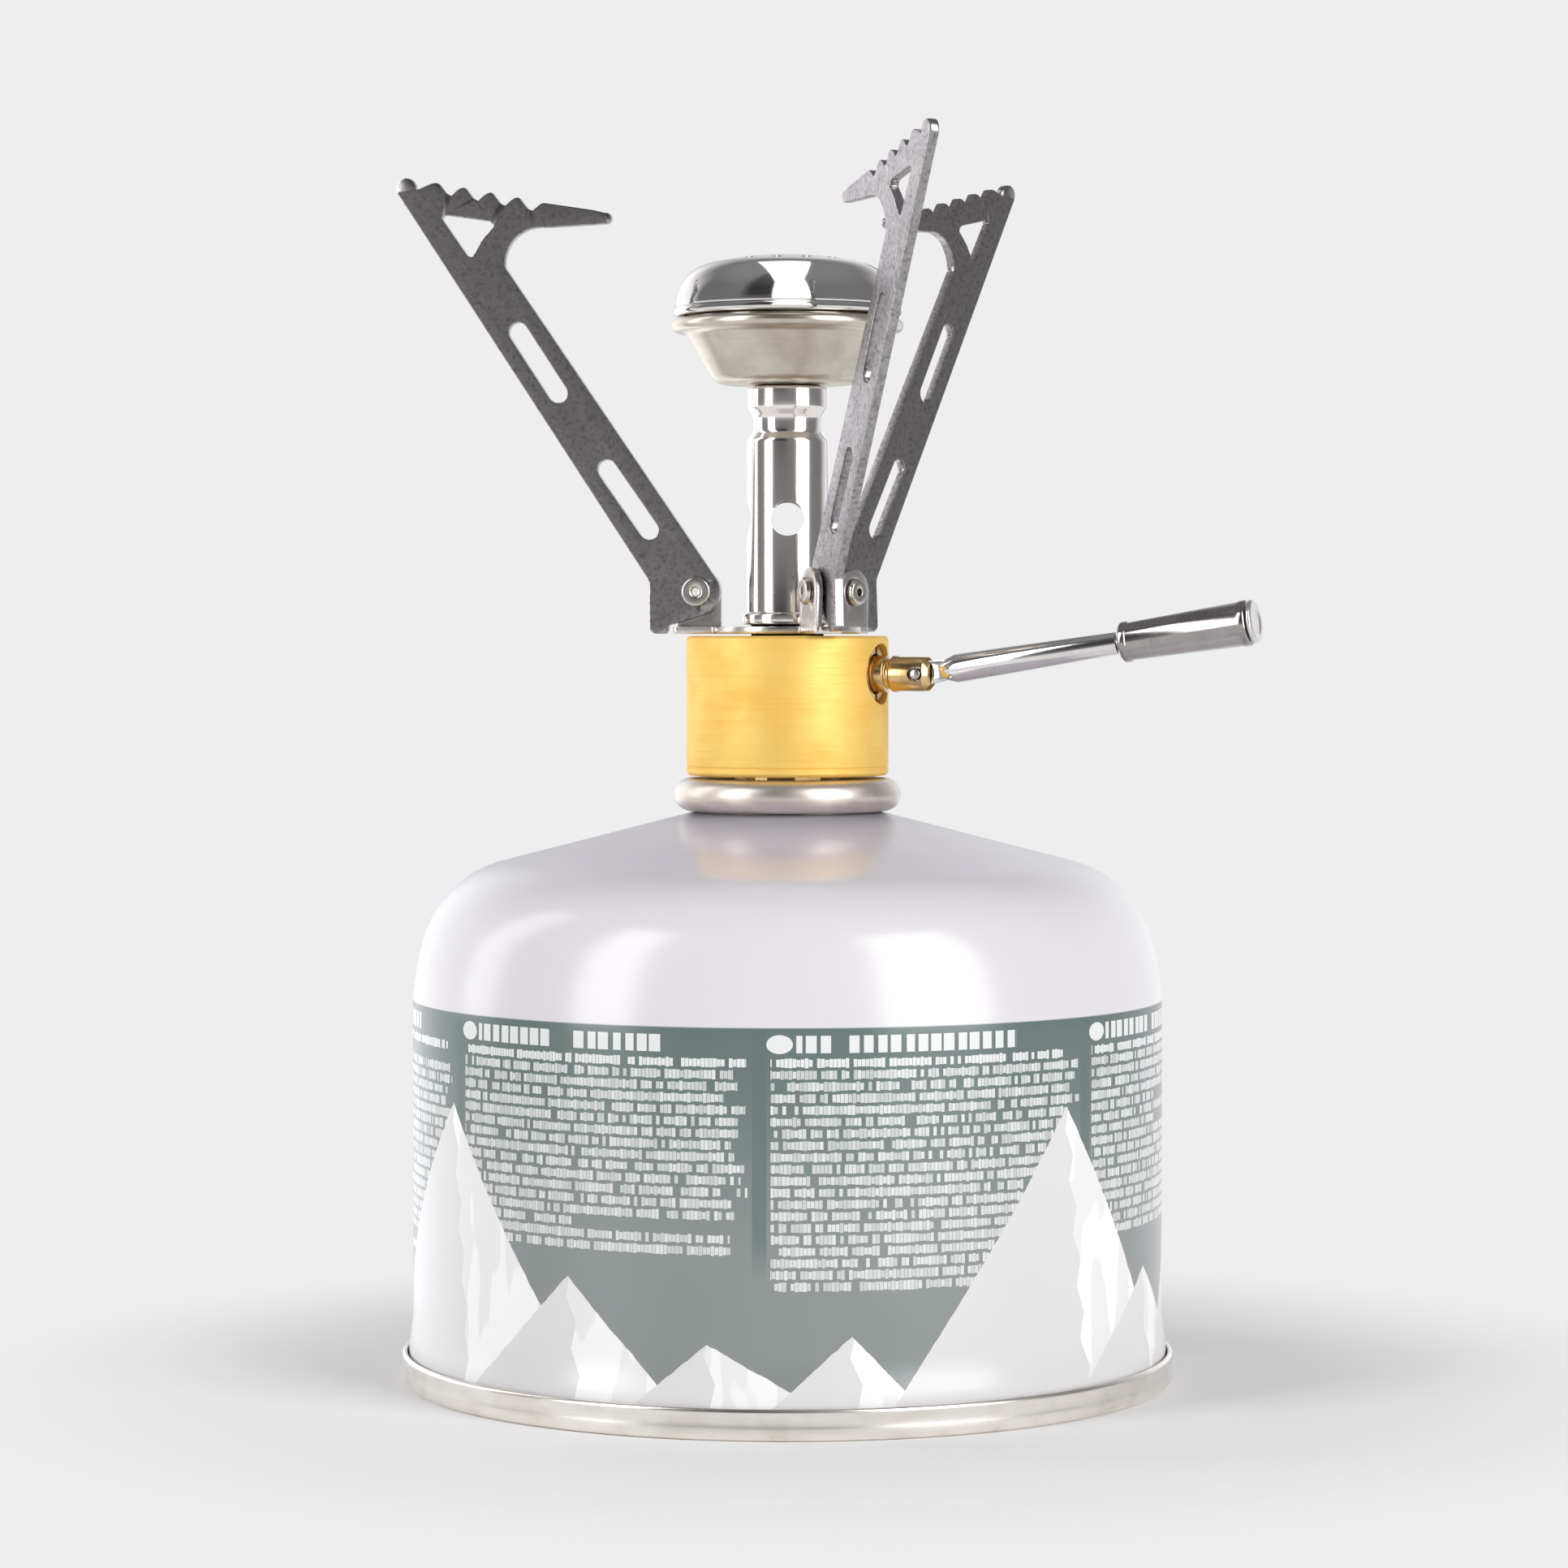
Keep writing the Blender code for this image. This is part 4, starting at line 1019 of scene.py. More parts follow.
@dataclass
class TapBody:
    """Gold anodised tap body with its bores, and the small parts inside it."""

    workshop: Workshop
    radius: float = 14.45
    edge: float = 0.4
    groove_up: float = 1.0
    groove_depth: float = 0.14
    insert_r: float = 7.6
    spigot_r: float = 5.2
    jet_r: float = 2.2
    gas_way_r: float = 1.2
    gap: float = 0.3
    spindle_drop: float = 5.4
    spindle_start: float = -0.5
    spindle_bore: tuple[Point, ...] = ((1.2, 7.5), (2.9, 9.0))
    seal_r: float = 3.9
    counterbore_r: float = 4.35
    counterbore_depth: float = 3.0

    def build(self) -> None:
        """Make the body and dress what it holds."""
        low = height_of("valve_body")
        top = height_of("valve_body", True)
        bore = self.insert_r + self.gap
        bore_top = height_of("inlet_insert", True) + self.gap
        socket_z = height_of("mixing_tube") - self.gap
        seat = top - self.spindle_drop + self.gas_way_r
        groove = low + self.groove_up
        groove_r = self.radius - self.groove_depth
        profile = [(bore, low), (self.radius - self.edge, low), (self.radius, low + self.edge),
                   (self.radius, groove), (groove_r, groove + 0.1), (groove_r, groove + 0.24),
                   (self.radius, groove + 0.34), (self.radius, top - self.edge),
                   (self.radius - self.edge, top)]
        profile += stepped(top, (self.spigot_r + self.gap, socket_z), (self.jet_r, seat),
                           (self.gas_way_r, bore_top))
        body = Solid.turned(profile + [(bore, bore_top)], 0.12, 128)
        end = self.radius + 2
        way = stepped(self.spindle_start, *self.spindle_bore,
                      (self.seal_r, self.radius - self.counterbore_depth), (self.counterbore_r, end))
        cutter = Solid.turned([(0, self.spindle_start), *way, (0, end)], 0.0, 64)
        body.carve(cutter.laid().moved(shifted(z=top - self.spindle_drop)))
        gold = MetalFinish("gold_anodising", (0.95, 0.67, 0.19), (0.91, 0.565, 0.12), 0.6, 0.18,
                           Grain.ROUND_Z, 0.6, 0.035, 0.16, 0.62)
        self.workshop.deliver(body, "tap_body", gold.mix(), Slot.GOLD, Body.STOVE, "valve_body")
        brass = MetalFinish("turned_brass", (0.78, 0.55, 0.24), (0.60, 0.38, 0.14), 0.26, grain=Grain.ROUND_Z)
        opener = MetalFinish("opener_steel", (0.58, 0.57, 0.56), (0.42, 0.41, 0.40), 0.28,
                             grain=Grain.ROUND_Z)
        self.workshop.dress(brass.mix(), "inlet_insert", "gas_jet")
        self.workshop.dress(opener.mix(), "opener_pin")
        self.workshop.dress(SinteredFinish().mix(), "inlet_filter")
        self.workshop.dress(RubberFinish("seal_ring_rubber").mix(), "inlet_seal", "spindle_seal")


@dataclass
class Burner:
    """Mixing tube, burner cup and flame cap."""

    workshop: Workshop
    tube_r: float = 5.8
    wall: float = 0.7
    flange_r: float = 6.4
    flange_t: float = 1.7
    flange_up: float = 1.3
    spigot_r: float = 5.2
    spigot_bore: float = 3.6
    hole_r: float = 2.5
    hole_up: float = 15.1
    hole_first: float = FRONT
    neck_r: float = 4.9
    neck_bore: float = 4.0
    collar_r: float = 5.7
    gap: float = 0.3
    cup_hole_r: float = 4.9
    cup_height: float = 7.0
    lip_r: float = 16.55
    lip_section: float = 0.95
    cap_r: float = 16.35
    cap_shoulder: float = 6.2
    crown_r: float = 51.0
    bead_r: float = 0.7
    skirt_r: float = 14.6
    sheet: float = 0.8
    port_r: float = 0.8
    port_rings: tuple[tuple[float, int], ...] = ((5.0, 8), (9.4, 14))

    def build(self) -> bpy.types.Object:
        """Make every piece of the burner.

        Returns:
            The mirror-bright cap.
        """
        self._tube()
        self._cup()
        cap = self._cap()
        gauze = MetalFinish("heat_stained_gauze", (0.38, 0.35, 0.33), (0.22, 0.19, 0.18), 0.5, 0.1,
                            Grain.TUMBLED, 0.8, 0.1)
        self.workshop.dress(gauze.mix(), "burner_gauze")
        return cap

    def _tube(self) -> None:
        """Upright tube with its flange, four air holes, neck and collar."""
        flange_z = height_of("arm_bracket") + self.flange_up
        cup_z = height_of("burner_cup")
        top = cup_z - self.gap
        flange_top = flange_z + self.flange_t
        collar_z = top - 3.2
        neck_top = collar_z - 1.1
        neck_z = neck_top - 2.2
        tube_end = neck_z - 1.2
        bore = self.tube_r - self.wall
        upper = self.neck_r - self.gap
        tip = cup_z + 3.0
        profile = stepped(height_of("mixing_tube"), (self.spigot_r, flange_z),
                          (self.flange_r, flange_top - 0.25))
        profile += [(self.flange_r - 0.25, flange_top), (self.tube_r, flange_top), (self.tube_r, tube_end),
                    (self.neck_r, neck_z), (self.neck_r, neck_top), (self.collar_r, collar_z),
                    (self.collar_r, top - 0.3), (self.collar_r - 0.3, top), (upper, top), (upper, tip),
                    (self.neck_bore, tip), (self.neck_bore, neck_z + 0.4), (bore, tube_end - 0.4),
                    (bore, flange_top + 1.6), (self.spigot_bore, flange_top - 0.4)]
        tube = Solid.turned([(self.spigot_bore, profile[0][1])] + profile, 0.3, 96)
        for index in range(2):
            way = shifted(z=flange_z + self.hole_up) @ turned_by(self.hole_first + 90 * index, "Z")
            tube.carve(Solid.rod(self.hole_r, 18.0, 48).laid().moved(way))
        bright = MetalFinish("polished_tube", (0.91, 0.87, 0.83), (0.82, 0.765, 0.72), 0.14, 0.05,
                             Grain.ROUND_Z, 0.10, 0.01)
        self.workshop.deliver(tube, "air_tube", bright.mix(), Slot.BRIGHT, Body.STOVE, "mixing_tube")

    def _cup(self) -> None:
        """Pressed cup under the cap, with its rolled lip."""
        base = height_of("burner_cup")
        top = height_of("burner_cup", True)
        lip_z = top - self.lip_section
        step_r = self.skirt_r + self.gap
        step_z = lip_z - 0.5
        hole = self.cup_hole_r
        lip = bow((self.lip_r - self.lip_section, lip_z), self.lip_section, -115, 110, 24)
        knee = bow((9.0, base + 2.2), 2.2, -90, -24, 8)
        outside = [(hole, base)] + knee + [(14.5, base + self.cup_height)]
        inside = [(step_r, top - 0.1), (step_r, step_z), (13.9, step_z - 0.2), (10.6, base + 1.7),
                  (9.4, base + self.sheet), (hole, base + self.sheet)]
        champagne = MetalFinish("champagne_pressing", (0.66, 0.61, 0.53), (0.52, 0.47, 0.40), 0.31, 0.12,
                                Grain.ROUND_Z, 0.2, 0.02, 0.25)
        self.workshop.deliver(Solid.turned(outside + lip + inside, 0.25, 128), "burner_bowl", champagne.mix(),
                              Slot.CHAMPAGNE, Body.STOVE, "burner_cup")

    def _cap(self) -> bpy.types.Object:
        """Mirror-bright cap with its base bead, shoulder, crown and flame ports.

        Returns:
            The cap.
        """
        cap_z = height_of("burner_cup", True) + self.gap
        skirt_z = height_of("burner_cap")
        top = height_of("burner_cap", True)
        wall_r = self.cap_r - self.bead_r / 2
        hub_r = wall_r - self.cap_shoulder
        spread = self.crown_r - self.cap_shoulder
        centre = top - self.crown_r
        reach = math.degrees(math.acos(hub_r / spread))
        hub = (hub_r, centre + math.sqrt(spread ** 2 - hub_r ** 2))
        bead = bow((self.cap_r - 0.75, cap_z + self.bead_r), self.bead_r, -90, 70, 12)
        outer = stepped(skirt_z, (self.skirt_r, cap_z)) + bead + [(wall_r, cap_z + 1.7)]
        outer += bow(hub, self.cap_shoulder, 0, reach, 20)
        outer += bow((0, centre), self.crown_r, reach, 90, 12)[1:]
        inner = bow((0, centre), self.crown_r - self.sheet, 90, reach, 8)
        inner += bow(hub, self.cap_shoulder - self.sheet, reach, 0, 10)[1:]
        inner += stepped(cap_z + 0.9, (self.skirt_r - self.sheet, skirt_z))
        cap = Solid.turned(inner + outer, 0.15, 128)
        drills = Solid()
        for ring_r, count in self.port_rings:
            for index in range(count):
                spot = Matrix.Rotation(math.tau * index / count, 4, "Z") @ shifted(ring_r, 0, top - 1.5)
                bmesh.ops.create_cone(drills.bm, cap_ends=True, segments=16, radius1=self.port_r,
                                      radius2=self.port_r, depth=8, matrix=spot)
        mirror = MetalFinish("mirror_cap", (0.80, 0.78, 0.76), (0.66, 0.63, 0.62), 0.07, 0.05,
                             Grain.ROUND_Z, 0.06, 0.01, 0.15)
        return self.workshop.deliver(cap.carve(drills), "flame_cap", mirror.mix(), Slot.MIRROR, Body.STOVE,
                                     "burner_cap")


@dataclass
class PotArms:
    """Bracket with its ears, and three serrated arms on tubular rivets."""

    workshop: Workshop
    first: float = 193.0
    count: int = 3
    bracket_t: float = 1.0
    bracket_r: float = 10.5
    bracket_hole_r: float = 5.5
    tab_reach: float = 16.4
    tab_half: float = 2.1
    ear_r: float = 3.3
    arm_t: float = 1.4
    lean_in: tuple[float, ...] = (0.0, 3.0, 3.0)
    slots: tuple[tuple[Point, Point], ...] = (((20.3, 28.6), (26.1, 37.4)), ((7.0, 8.9), (13.1, 17.6)))
    slot_half: float = 1.4
    window: tuple[Point, ...] = ((37.4, 54.0), (36.9, 54.4), (30.2, 53.4), (29.7, 52.7), (31.4, 50.8),
                                 (32.3, 49.2), (32.9, 48.3), (33.5, 48.4))
    teeth: int = 4
    first_tooth: Point = (38.3, 59.1)
    tooth_step: Point = (3.97, 0.77)
    rivet_r: float = 1.2
    head_r: float = 2.1
    head_t: float = 0.6
    bore_r: float = 0.6
    gap: float = 0.3

    def build(self) -> None:
        """Make the bracket, the arms and the rivets."""
        self._bracket()
        steel = MetalFinish("tumbled_steel", (0.43, 0.408, 0.418), (0.175, 0.16, 0.17), 0.26, 0.14,
                            Grain.TUMBLED, 0.3, 0.03, 0.35, speckle=0.8).mix()
        plated = MetalFinish("nickel_plate", (0.78, 0.74, 0.70), (0.62, 0.57, 0.52), 0.2, 0.06,
                             Grain.SMOOTH, 0.03, 0.01).mix()
        windows = [self._eye(), list(self.window)]
        windows += [stadium(start, end, self.slot_half) for start, end in self.slots]
        for index, body in enumerate((Body.ARM_1, Body.ARM_2, Body.ARM_3)):
            number = index + 1
            hinge = self._hinge(index)
            arm = Solid.plate([self._outline(), *windows], self.arm_t, True, 0.45, 0.16)
            arm.moved(hinge @ turned_by(-self.lean_in[index], "Y"))
            self.workshop.deliver(arm, f"serrated_arm_{number}", steel, Slot.ARM, body, f"pot_arm_{number}",
                                  crisp=True)
            rivet = self._rivet().moved(hinge @ turned_by(90, "X"))
            self.workshop.deliver(rivet, f"tubular_rivet_{number}", plated, Slot.NICKEL, Body.STOVE,
                                  f"arm_rivet_{number}")

    def _hinge(self, index: int) -> Matrix:
        """Place and facing of an arm's hinge, from its joint."""
        place = Vector(joint(f"arm_{index + 1}_fold")["pos_m"]) * PER_METRE
        return shifted(*place) @ shifted(-self.workshop.axis) @ turned_by(self.first + 120 * index, "Z")

    def _eye(self) -> list[Point]:
        """Hole for a rivet."""
        return ring(self.rivet_r + self.gap, 32)

    def _outline(self) -> list[Point]:
        """Side view of an arm from its rivet, with its teeth and its hook.

        Returns:
            The outline.
        """
        heel = [(4.2, -6.0), (6.3, -6.0), (6.9, -5.4), (6.9, 1.5)]
        tip = bow((42.6, 58.3), 1.48, -33, 190, 16)
        teeth = []
        for index in range(self.teeth):
            x = self.first_tooth[0] - self.tooth_step[0] * index
            y = self.first_tooth[1] - self.tooth_step[1] * index
            teeth += [(x + 0.55, y - 0.12), (x - 0.45, y), (x - 1.75, y - 1.7), (x - 2.35, y - 1.9)]
        hook = [(22.6, 56.0), (15.0, 54.8)] + bow((13.2, 53.6), 0.8, 80, 260, 10) + [(21.3, 52.4)]
        throat = bow((22.8, 47.15), 5.25, 90, -4, 18)
        boss = bow((0, 0), 3.4, 145.5, 262, 18)
        return heel + tip + teeth + hook + throat + boss + [(3.4, -4.6), (4.1, -4.8)]

    def _bracket(self) -> None:
        """Pressed bracket: a disc with three tabs, each with an ear bent up."""
        low = height_of("arm_bracket")
        outline: list[Point] = []
        half = math.degrees(math.asin(self.tab_half / self.bracket_r))
        side = math.degrees(math.atan2(self.tab_half, self.tab_reach))
        far = math.hypot(self.tab_half, self.tab_reach)
        for index in range(self.count):
            facing = self.first + 120 * index
            outline += bow((0, 0), far, facing - side, facing + side, 1)
            outline += bow((0, 0), self.bracket_r, facing + half, facing + 120 - half, 18)
        bracket = Solid.plate([outline, ring(self.bracket_hole_r, 64)], self.bracket_t, False, 0.6, 0.12)
        bracket.moved(shifted(z=low))
        away = shifted(y=-(self.arm_t / 2 + self.gap + self.bracket_t / 2))
        for index in range(self.count):
            hinge = self._hinge(index)
            foot = low + 0.02 - hinge.translation.z
            ear = [(3.0, foot)] + bow((0, 0), self.ear_r, 0, 180, 24) + [(-self.ear_r, foot)]
            shape = Solid.plate([ear, self._eye()], self.bracket_t, True, 0.0, 0.12)
            bracket.carve(shape.moved(hinge @ away), "UNION")
        zinc = MetalFinish("pressed_zinc_steel", (0.72, 0.69, 0.66), (0.58, 0.54, 0.51), 0.27, 0.1,
                           Grain.SMOOTH, 0.03, 0.01, 0.4)
        self.workshop.deliver(bracket, "ear_bracket", zinc.mix(), Slot.BRACKET, Body.STOVE, "arm_bracket")

    def _rivet(self) -> Solid:
        """Tubular rivet with a rolled head on one side.

        Returns:
            The rivet, upright.
        """
        near = -(self.arm_t / 2 + self.gap)
        far = self.arm_t / 2 + self.bracket_t + 2 * self.gap
        end = far + self.head_t
        roll = self.head_t / 2
        head = bow((self.head_r - roll, near - roll), roll, 0, -90, 8)
        lead = [(self.bore_r, near - self.head_t + 0.25), (self.bore_r + 0.3, near - self.head_t)]
        shank = [(self.head_r, near), (self.rivet_r, near), (self.rivet_r, far), (self.head_r - 0.1, far),
                 (self.head_r - 0.4, end), (self.bore_r, end)]
        return Solid.turned(lead + head[::-1] + shank, 0.1, 40)


@dataclass
class Tap:
    """Brass spindle with its fork, gland nut, and the folding handle."""

    workshop: Workshop
    spindle_r: float = 2.6
    spindle_end: float = 22.1
    needle_r: float = 0.9
    neck_depth: float = 0.45
    fork_slot: Point = (10.6, 2.0)
    pin_x: float = 20.3
    pin_r: float = 0.8
    gap: float = 0.3
    gland_x: float = 11.3
    gland_t: float = 1.7
    counterbore_r: float = 4.35
    key_slot: Point = (0.9, 1.2)
    tilt: float = 8.5
    rod_start: float = 3.4
    rod_r: float = 2.05
    rod_end_r: float = 1.6
    tongue_half: float = 1.4
    tongue_r: float = 1.8
    knob_start: float = 30.0
    knob_end: float = 49.8
    knob_r: float = 2.7
    knob_end_r: float = 3.2
    socket: float = 6.0
    plug_r: float = 1.6
    plug_depth: float = 5.2
    plug_rim: float = 0.9
    core_r: float = 1.2

    def build(self) -> None:
        """Make every piece of the tap."""
        place = Vector(joint("handle_fold")["pos_m"]) * PER_METRE
        self.way = shifted(z=place.z)
        self.hinge = self.way @ shifted(self.pin_x) @ turned_by(-self.tilt, "Y")
        self._spindle()
        self._gland()
        self._handle()
        self._knob()

    def _spindle(self) -> None:
        """Stem with its needle, a neck behind the fork, and the fork for the handle."""
        radius = self.spindle_r
        neck_r = radius - self.neck_depth
        end = self.spindle_end
        stem = [(0, 1.4), (self.needle_r, 2.6), (self.needle_r, 7.7), (radius, 8.7), (radius, 15.3),
                (neck_r, 15.5), (neck_r, 16.1), (radius, 16.3), (radius, end - 0.8), (radius - 0.8, end),
                (0, end)]
        spindle = Solid.turned(stem, 0.12, 48).laid()
        spindle.carve(Solid.block(*self.fork_slot, 12.0).moved(shifted(end)))
        across = shifted(self.pin_x) @ turned_by(90, "X")
        spindle.carve(Solid.rod(self.pin_r + self.gap, 10.0, 32).moved(across))
        brass = MetalFinish("spindle_brass", (0.80, 0.58, 0.30), (0.60, 0.40, 0.17), 0.22, 0.1, Grain.ROUND_X)
        self.workshop.deliver(spindle.moved(self.way), "tap_spindle", brass.mix(), Slot.BRASS, Body.SPINDLE,
                              "valve_spindle")
        half = radius - 0.1
        pin = Solid.turned([(0, -half), (self.pin_r, -half), (self.pin_r, half), (0, half)], 0.25, 32)
        steel = MetalFinish("pin_steel", (0.55, 0.53, 0.51), (0.40, 0.38, 0.37), 0.25)
        self.workshop.deliver(pin.moved(self.way @ across), "fork_pin", steel.mix(), Slot.BRIGHT,
                              Body.SPINDLE, "handle_pin")

    def _gland(self) -> None:
        """Gland nut with two key slots."""
        low = self.gland_x + 2 * self.gap
        high = low + self.gland_t
        inner = self.spindle_r + self.gap
        outer = self.counterbore_r - self.gap
        nut = Solid.turned([(inner, low), (outer, low), (outer, high), (inner, high)], 0.15, 64)
        nut.carve(Solid.block(12.0, *self.key_slot).moved(shifted(z=high)))
        brass = MetalFinish("gland_brass", (0.72, 0.50, 0.22), (0.52, 0.33, 0.12), 0.3, grain=Grain.ROUND_X)
        self.workshop.deliver(nut.laid().moved(self.way), "gland_ring", brass.mix(), Slot.BRASS, Body.STOVE,
                              "gland_nut")

    def _handle(self) -> None:
        """Tapered rod with a flat tongue."""
        stub = self.rod_end_r - self.gap
        shoulder = self.knob_start - self.gap
        end = self.knob_start + self.socket - self.gap
        start = self.rod_start
        rod = [(0, start), (self.rod_r - 0.75, start), (self.rod_r, start + 2.2), (self.rod_end_r, shoulder),
               (stub, shoulder), (stub, end), (0, end)]
        handle = Solid.turned(rod, 0.12, 48).laid()
        tongue = [(start + 1.0, -self.tongue_half), (start + 1.0, self.tongue_half), (1.0, 1.7)]
        tongue += bow((0, 0), self.tongue_r, 75, 285, 24) + [(1.0, -1.7)]
        eye = ring(self.pin_r + self.gap, 24)
        handle.carve(Solid.plate([tongue, eye], self.fork_slot[1] - 2 * self.gap, True, 0.0, 0.1), "UNION")
        polished = MetalFinish("polished_rod", (0.84, 0.82, 0.81), (0.70, 0.67, 0.66), 0.11, 0.05,
                               Grain.ROUND_X, 0.1, 0.01)
        self.workshop.deliver(handle.moved(self.hinge), "handle_stem", polished.mix(), Slot.BRIGHT,
                              Body.HANDLE, "handle_rod")

    def _knob(self) -> None:
        """Round knob on the rod, and the cap in its end."""
        plug_z = self.knob_end - self.plug_depth
        end = self.knob_end - self.plug_rim
        start = self.knob_start
        bore = self.rod_end_r
        cap_bore = self.plug_r + self.gap
        grip = [(bore, start), (self.knob_r - 0.5, start), (self.knob_r + 0.15, start + 0.5),
                (self.knob_r + 0.15, start + 1.3), (self.knob_r - 0.05, start + 1.5),
                (self.knob_end_r - 0.12, end - 1.4), (self.knob_end_r, end - 1.1),
                (self.knob_end_r, end - 0.25), (self.knob_end_r - 0.25, end)]
        grip += stepped(end, (cap_bore, plug_z - self.gap), (self.core_r, start + self.socket))
        grip += [(bore, start + self.socket)]
        knob = MetalFinish("brushed_knob", (0.44, 0.415, 0.41), (0.30, 0.28, 0.275), 0.15, 0.08,
                           Grain.ROUND_X, 0.15, 0.015)
        self.workshop.deliver(Solid.turned(grip, 0.12, 64).laid().moved(self.hinge), "handle_grip",
                              knob.mix(), Slot.BRIGHT, Body.HANDLE, "handle_knob")
        rim_r = self.knob_end_r - 0.1
        tip = self.knob_end
        plug = [(0, plug_z)] + stepped(plug_z, (self.plug_r, end + self.gap), (rim_r, tip - 0.2))
        plug += [(self.knob_end_r - 0.4, tip), (2.0, tip), (1.7, tip - 0.15), (0, tip - 0.15)]
        zinc = MetalFinish("plug_steel", (0.85, 0.83, 0.80), (0.70, 0.67, 0.63), 0.28)
        self.workshop.deliver(Solid.turned(plug, 0.1, 64).laid().moved(self.hinge), "grip_cap", zinc.mix(),
                              Slot.BRACKET, Body.HANDLE, "knob_cap")


@dataclass(frozen=True)
class Wall:
    """A stretch of wall: the way it lies from the stove, its spread, and how much lighter or darker it is."""

    towards: float
    spread: float
    radiance: float


WALLS = (
    Wall(-140.0, 36.0, 0.95), Wall(180.0, 60.0, 0.42), Wall(146.0, 40.0, 0.45), Wall(-24.0, 30.0, -0.15),
)


@dataclass(frozen=True)
class Softbox:
    """An upright light panel, in metres and degrees: its way from the stove, width, bottom and top.

    A tip hangs it higher and turns it down towards the piece that it lights.
    """

    name: str
    towards: float
    width: float
    low: float
    high: float
    distance: float
    radiance: float
    tip: float = 0.0


SOFTBOXES = (
    Softbox("far left panel", -105.0, 0.28, 0.02, 1.15, 1.0, 2.5),
    Softbox("left panel", -56.0, 0.36, 0.02, 1.25, 1.0, 4.6),
    Softbox("right panel", 45.0, 0.62, 0.02, 1.25, 1.0, 4.6),
)


CAP_STRIPS = (
    Softbox("low cap strip", 4.0, 0.72, 0.1, 2.0, 1.0, 1.5),
    Softbox("high cap strip", 2.0, 0.46, 0.0, 3.0, 1.0, 1.5, 70.0),
)


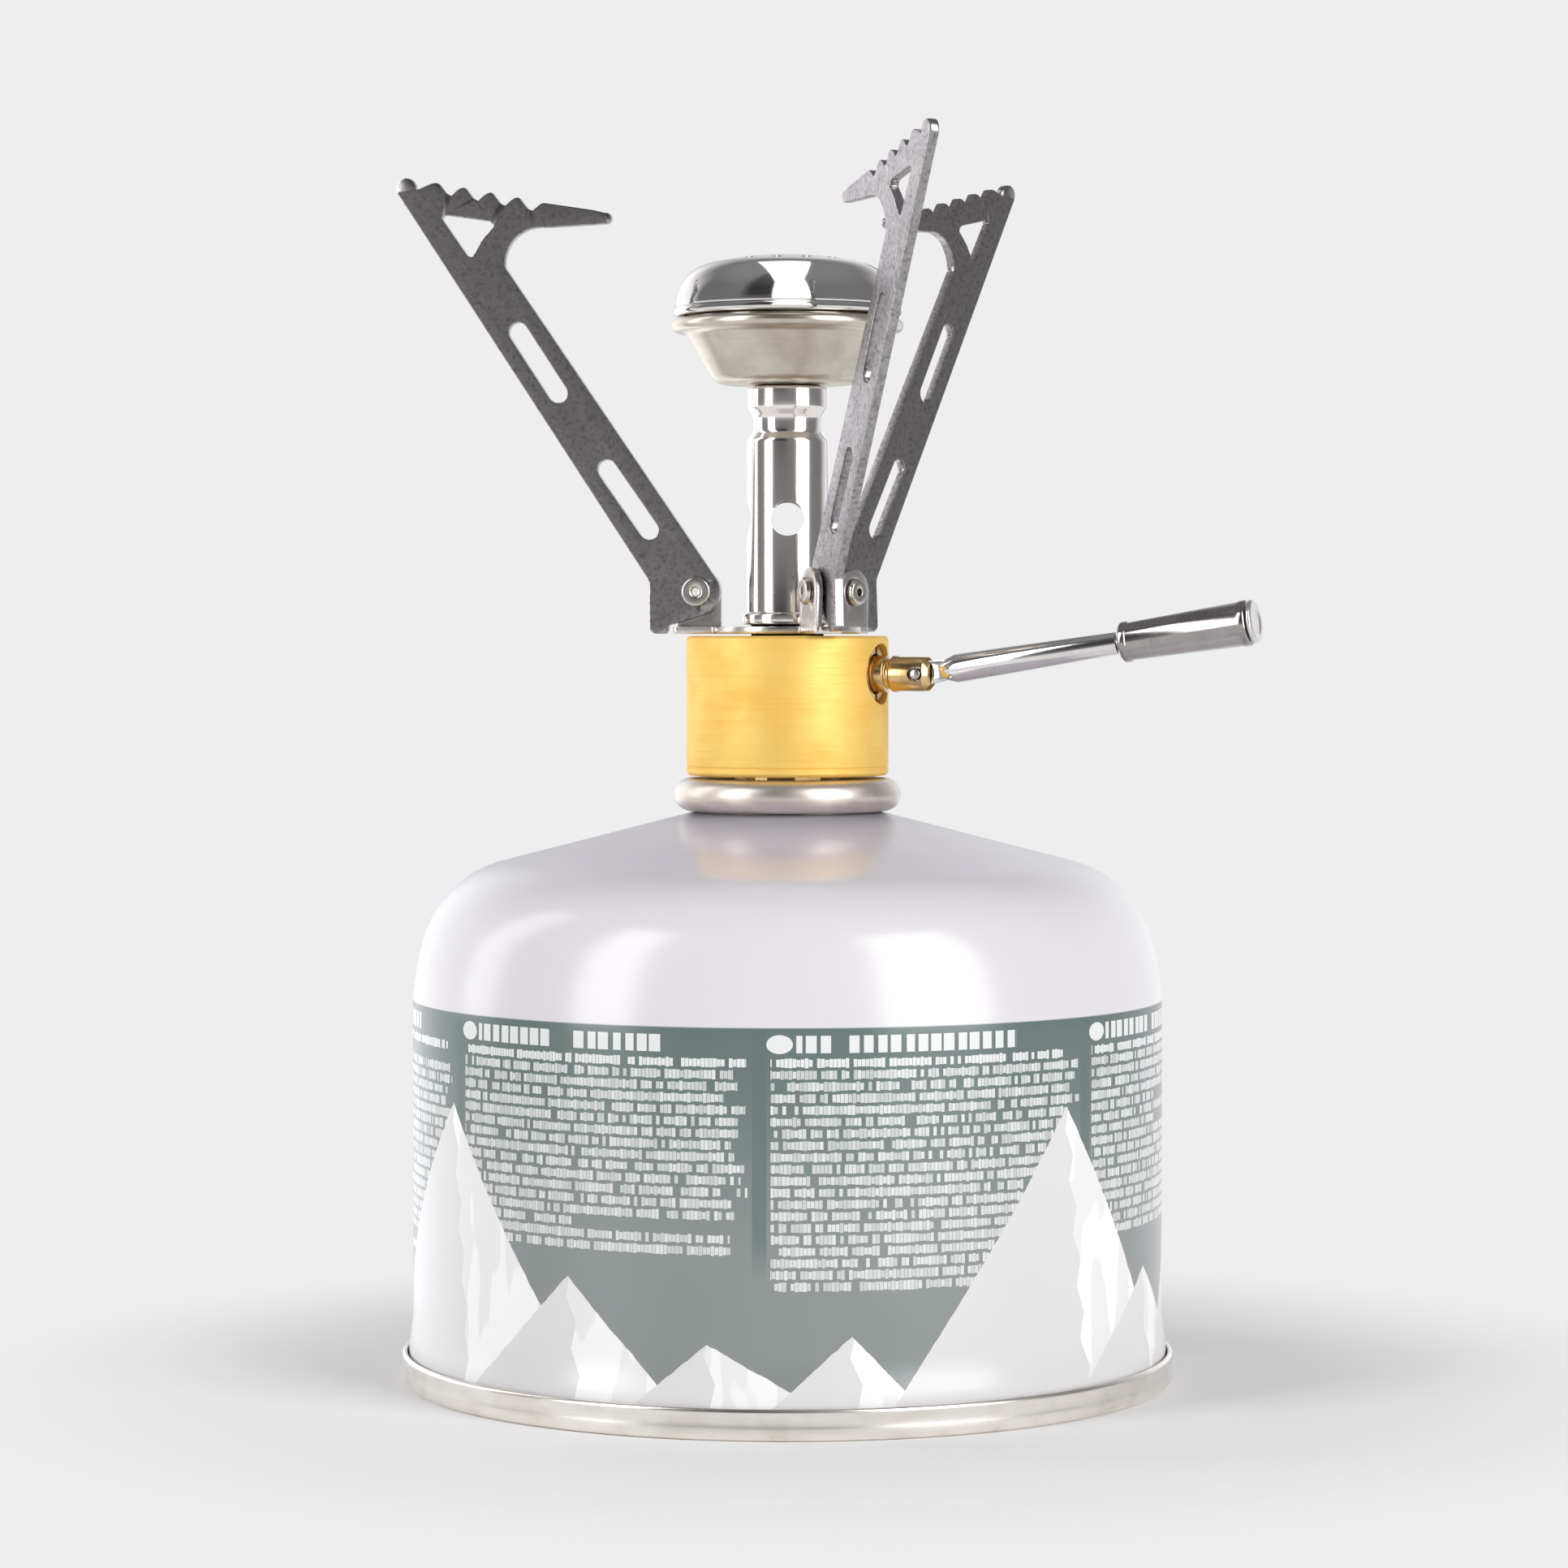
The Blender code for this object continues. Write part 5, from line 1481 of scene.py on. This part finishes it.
@dataclass
class Studio:
    """Pale floor, plain backdrop, soft light panels and the camera. Places are in metres."""

    axis: float
    facing: float = FRONT
    backdrop: float = 0.855
    room: float = 0.2
    underside: float = 0.86
    floor_radius: float = 2.0
    floor_tone: float = 0.9
    floor_fade: Point = (50.0, 135.0)
    lens: float = 105.0
    sensor: float = 36.0
    camera_place: Point = (0.2454, -0.6073)
    camera_height: float = 0.1062
    aim_height: float = 0.0851
    aim_left: float = 0.0005

    def build(self) -> None:
        """Set up everything round the stove."""
        bpy.context.scene.view_settings.view_transform = "Standard"
        self._floor()
        self._world()
        self.lamps = [self._panel(box) for box in SOFTBOXES]
        self._camera()

    def _floor(self) -> None:
        """Round pale floor that fades into the backdrop."""
        disc = Solid()
        bmesh.ops.create_circle(disc.bm, cap_ends=True, cap_tris=False, segments=96, radius=self.floor_radius)
        floor = add_object("floor", disc.mesh("floor"))
        made, bench = new_material("pale_floor")
        east, north, _ = bench.split(bench.place())
        away = bench.math("SQRT", east * east + north * north)
        diffuse = bench.node("ShaderNodeBsdfDiffuse", {}, {"Color": (self.floor_tone,) * 3 + (1.0,)})
        clear = bench.node("ShaderNodeBsdfTransparent")
        fade = away.ramp(*self.floor_fade)
        bench.close(bench.node("ShaderNodeMixShader", {}, {0: fade, 1: diffuse, 2: clear}))
        floor.data.materials.append(made)

    def _world(self) -> None:
        """Plain backdrop for the camera, and a dim room with brighter walls for everything else."""
        world = bpy.data.worlds.new("studio")
        bpy.context.scene.world = world
        world.use_nodes = True
        bench = Bench(world.node_tree)
        east, north, up = bench.split(bench.node("ShaderNodeTexCoord", output="Generated"))
        turn = math.radians(self.facing)
        front = east * math.cos(turn) + north * math.sin(turn)
        side = north * math.cos(turn) - east * math.sin(turn)
        level = bench.math("SQRT", east * east + north * north) + 0.001
        ahead = front / level
        aside = side / level
        room = self.room + up.ramp(0.5, 0.95) * 0.06
        fade = 1.0 - up.ramp(0.25, 0.75)
        lift = up.ramp(0.07, 0.3)
        for wall in WALLS:
            way = math.radians(wall.towards)
            facing = ahead * math.cos(way) + aside * math.sin(way)
            spread = facing.ramp(math.cos(math.radians(wall.spread)), 0.97)
            room = room + spread * (fade if wall.radiance > 0.0 else lift) * wall.radiance
        ground = bench.blend((0.0 - up).ramp(0.0, 0.12), (0.0, 0.0, 0.0), (self.underside,) * 3)
        tone = bench.node("ShaderNodeCombineColor", {}, {0: room, 1: room, 2: room * 1.03})
        light = bench.node("ShaderNodeBackground", {}, {0: bench.blend(1.0, tone, ground, "LIGHTEN"), 1: 1.0})
        plain = bench.node("ShaderNodeBackground", {}, {0: (self.backdrop,) * 3 + (1.0,), 1: 1.0})
        seen = bench.node("ShaderNodeLightPath")
        bench.close(bench.node("ShaderNodeMixShader", {}, {0: seen, 1: light, 2: plain}),
                    "ShaderNodeOutputWorld")

    def _panel(self, box: Softbox, target: float = 0.0) -> bpy.types.Object:
        """Hang one light panel, unseen by the camera.

        Args:
            box: The panel.
            target: Height that a tipped panel is turned round, in metres.

        Returns:
            The lamp.
        """
        data = bpy.data.lights.new(box.name, "AREA")
        data.shape = "RECTANGLE"
        data.size = box.width
        data.size_y = box.high - box.low
        data.energy = box.radiance * math.pi * data.size * data.size_y
        lamp = add_object(box.name, data)
        way = math.radians(self.facing + box.towards)
        tip = math.radians(box.tip)
        rise = box.distance * math.sin(tip)
        middle = target + rise if box.tip else (box.low + box.high) / 2
        place = Vector((self.axis * MM + box.distance * math.cos(tip) * math.cos(way),
                        box.distance * math.cos(tip) * math.sin(way), middle))
        self._aim(lamp, place, Vector((self.axis * MM, 0.0, place.z - rise)))
        lamp.visible_camera = False
        return lamp

    @staticmethod
    def _aim(thing: bpy.types.Object, place: Vector, aim: Vector) -> None:
        """Put a lamp or the camera at a place and point it."""
        thing.location = place
        thing.rotation_euler = (aim - place).to_track_quat("-Z", "Y").to_euler()

    def flag(self, piece: bpy.types.Object, height: float) -> None:
        """Keep the panels off one mirror-like piece and give it strip lights of its own.

        Args:
            piece: The piece.
            height: Its height in metres.
        """
        strips = [self._panel(box, height) for box in CAP_STRIPS]
        states = [(lamp, "EXCLUDE") for lamp in self.lamps] + [(strip, "INCLUDE") for strip in strips]
        for lamp, state in states:
            group = bpy.data.collections.new(f"{lamp.name} {state.lower()}")
            group.objects.link(piece)
            group.collection_objects[0].light_linking.link_state = state
            lamp.light_linking.receiver_collection = group

    def _camera(self) -> None:
        """Long lens, a little above the middle of the stove."""
        data = bpy.data.cameras.new("camera")
        data.lens = self.lens
        data.sensor_width = self.sensor
        camera = add_object("camera", data)
        place = Vector((self.axis * MM + self.camera_place[0], self.camera_place[1], self.camera_height))
        right = Vector((-self.camera_place[1], self.camera_place[0], 0.0)).normalized()
        self._aim(camera, place, Vector((self.axis * MM, 0.0, self.aim_height)) - right * self.aim_left)
        bpy.context.scene.camera = camera


def main() -> None:
    """Build the looks in order."""
    logging.basicConfig(level=logging.INFO, format="%(name)s %(message)s")
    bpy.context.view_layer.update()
    low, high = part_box("cartridge_valve_cup")
    axis = (low.x + high.x) / 2 * PER_METRE
    studio = Studio(axis)
    studio.build()
    workshop = Workshop(axis)
    Cartridge(workshop).build()
    TapBody(workshop).build()
    studio.flag(Burner(workshop).build(), height_of("burner_cap") * MM)
    PotArms(workshop).build()
    Tap(workshop).build()


if __name__ == "__main__":
    main()
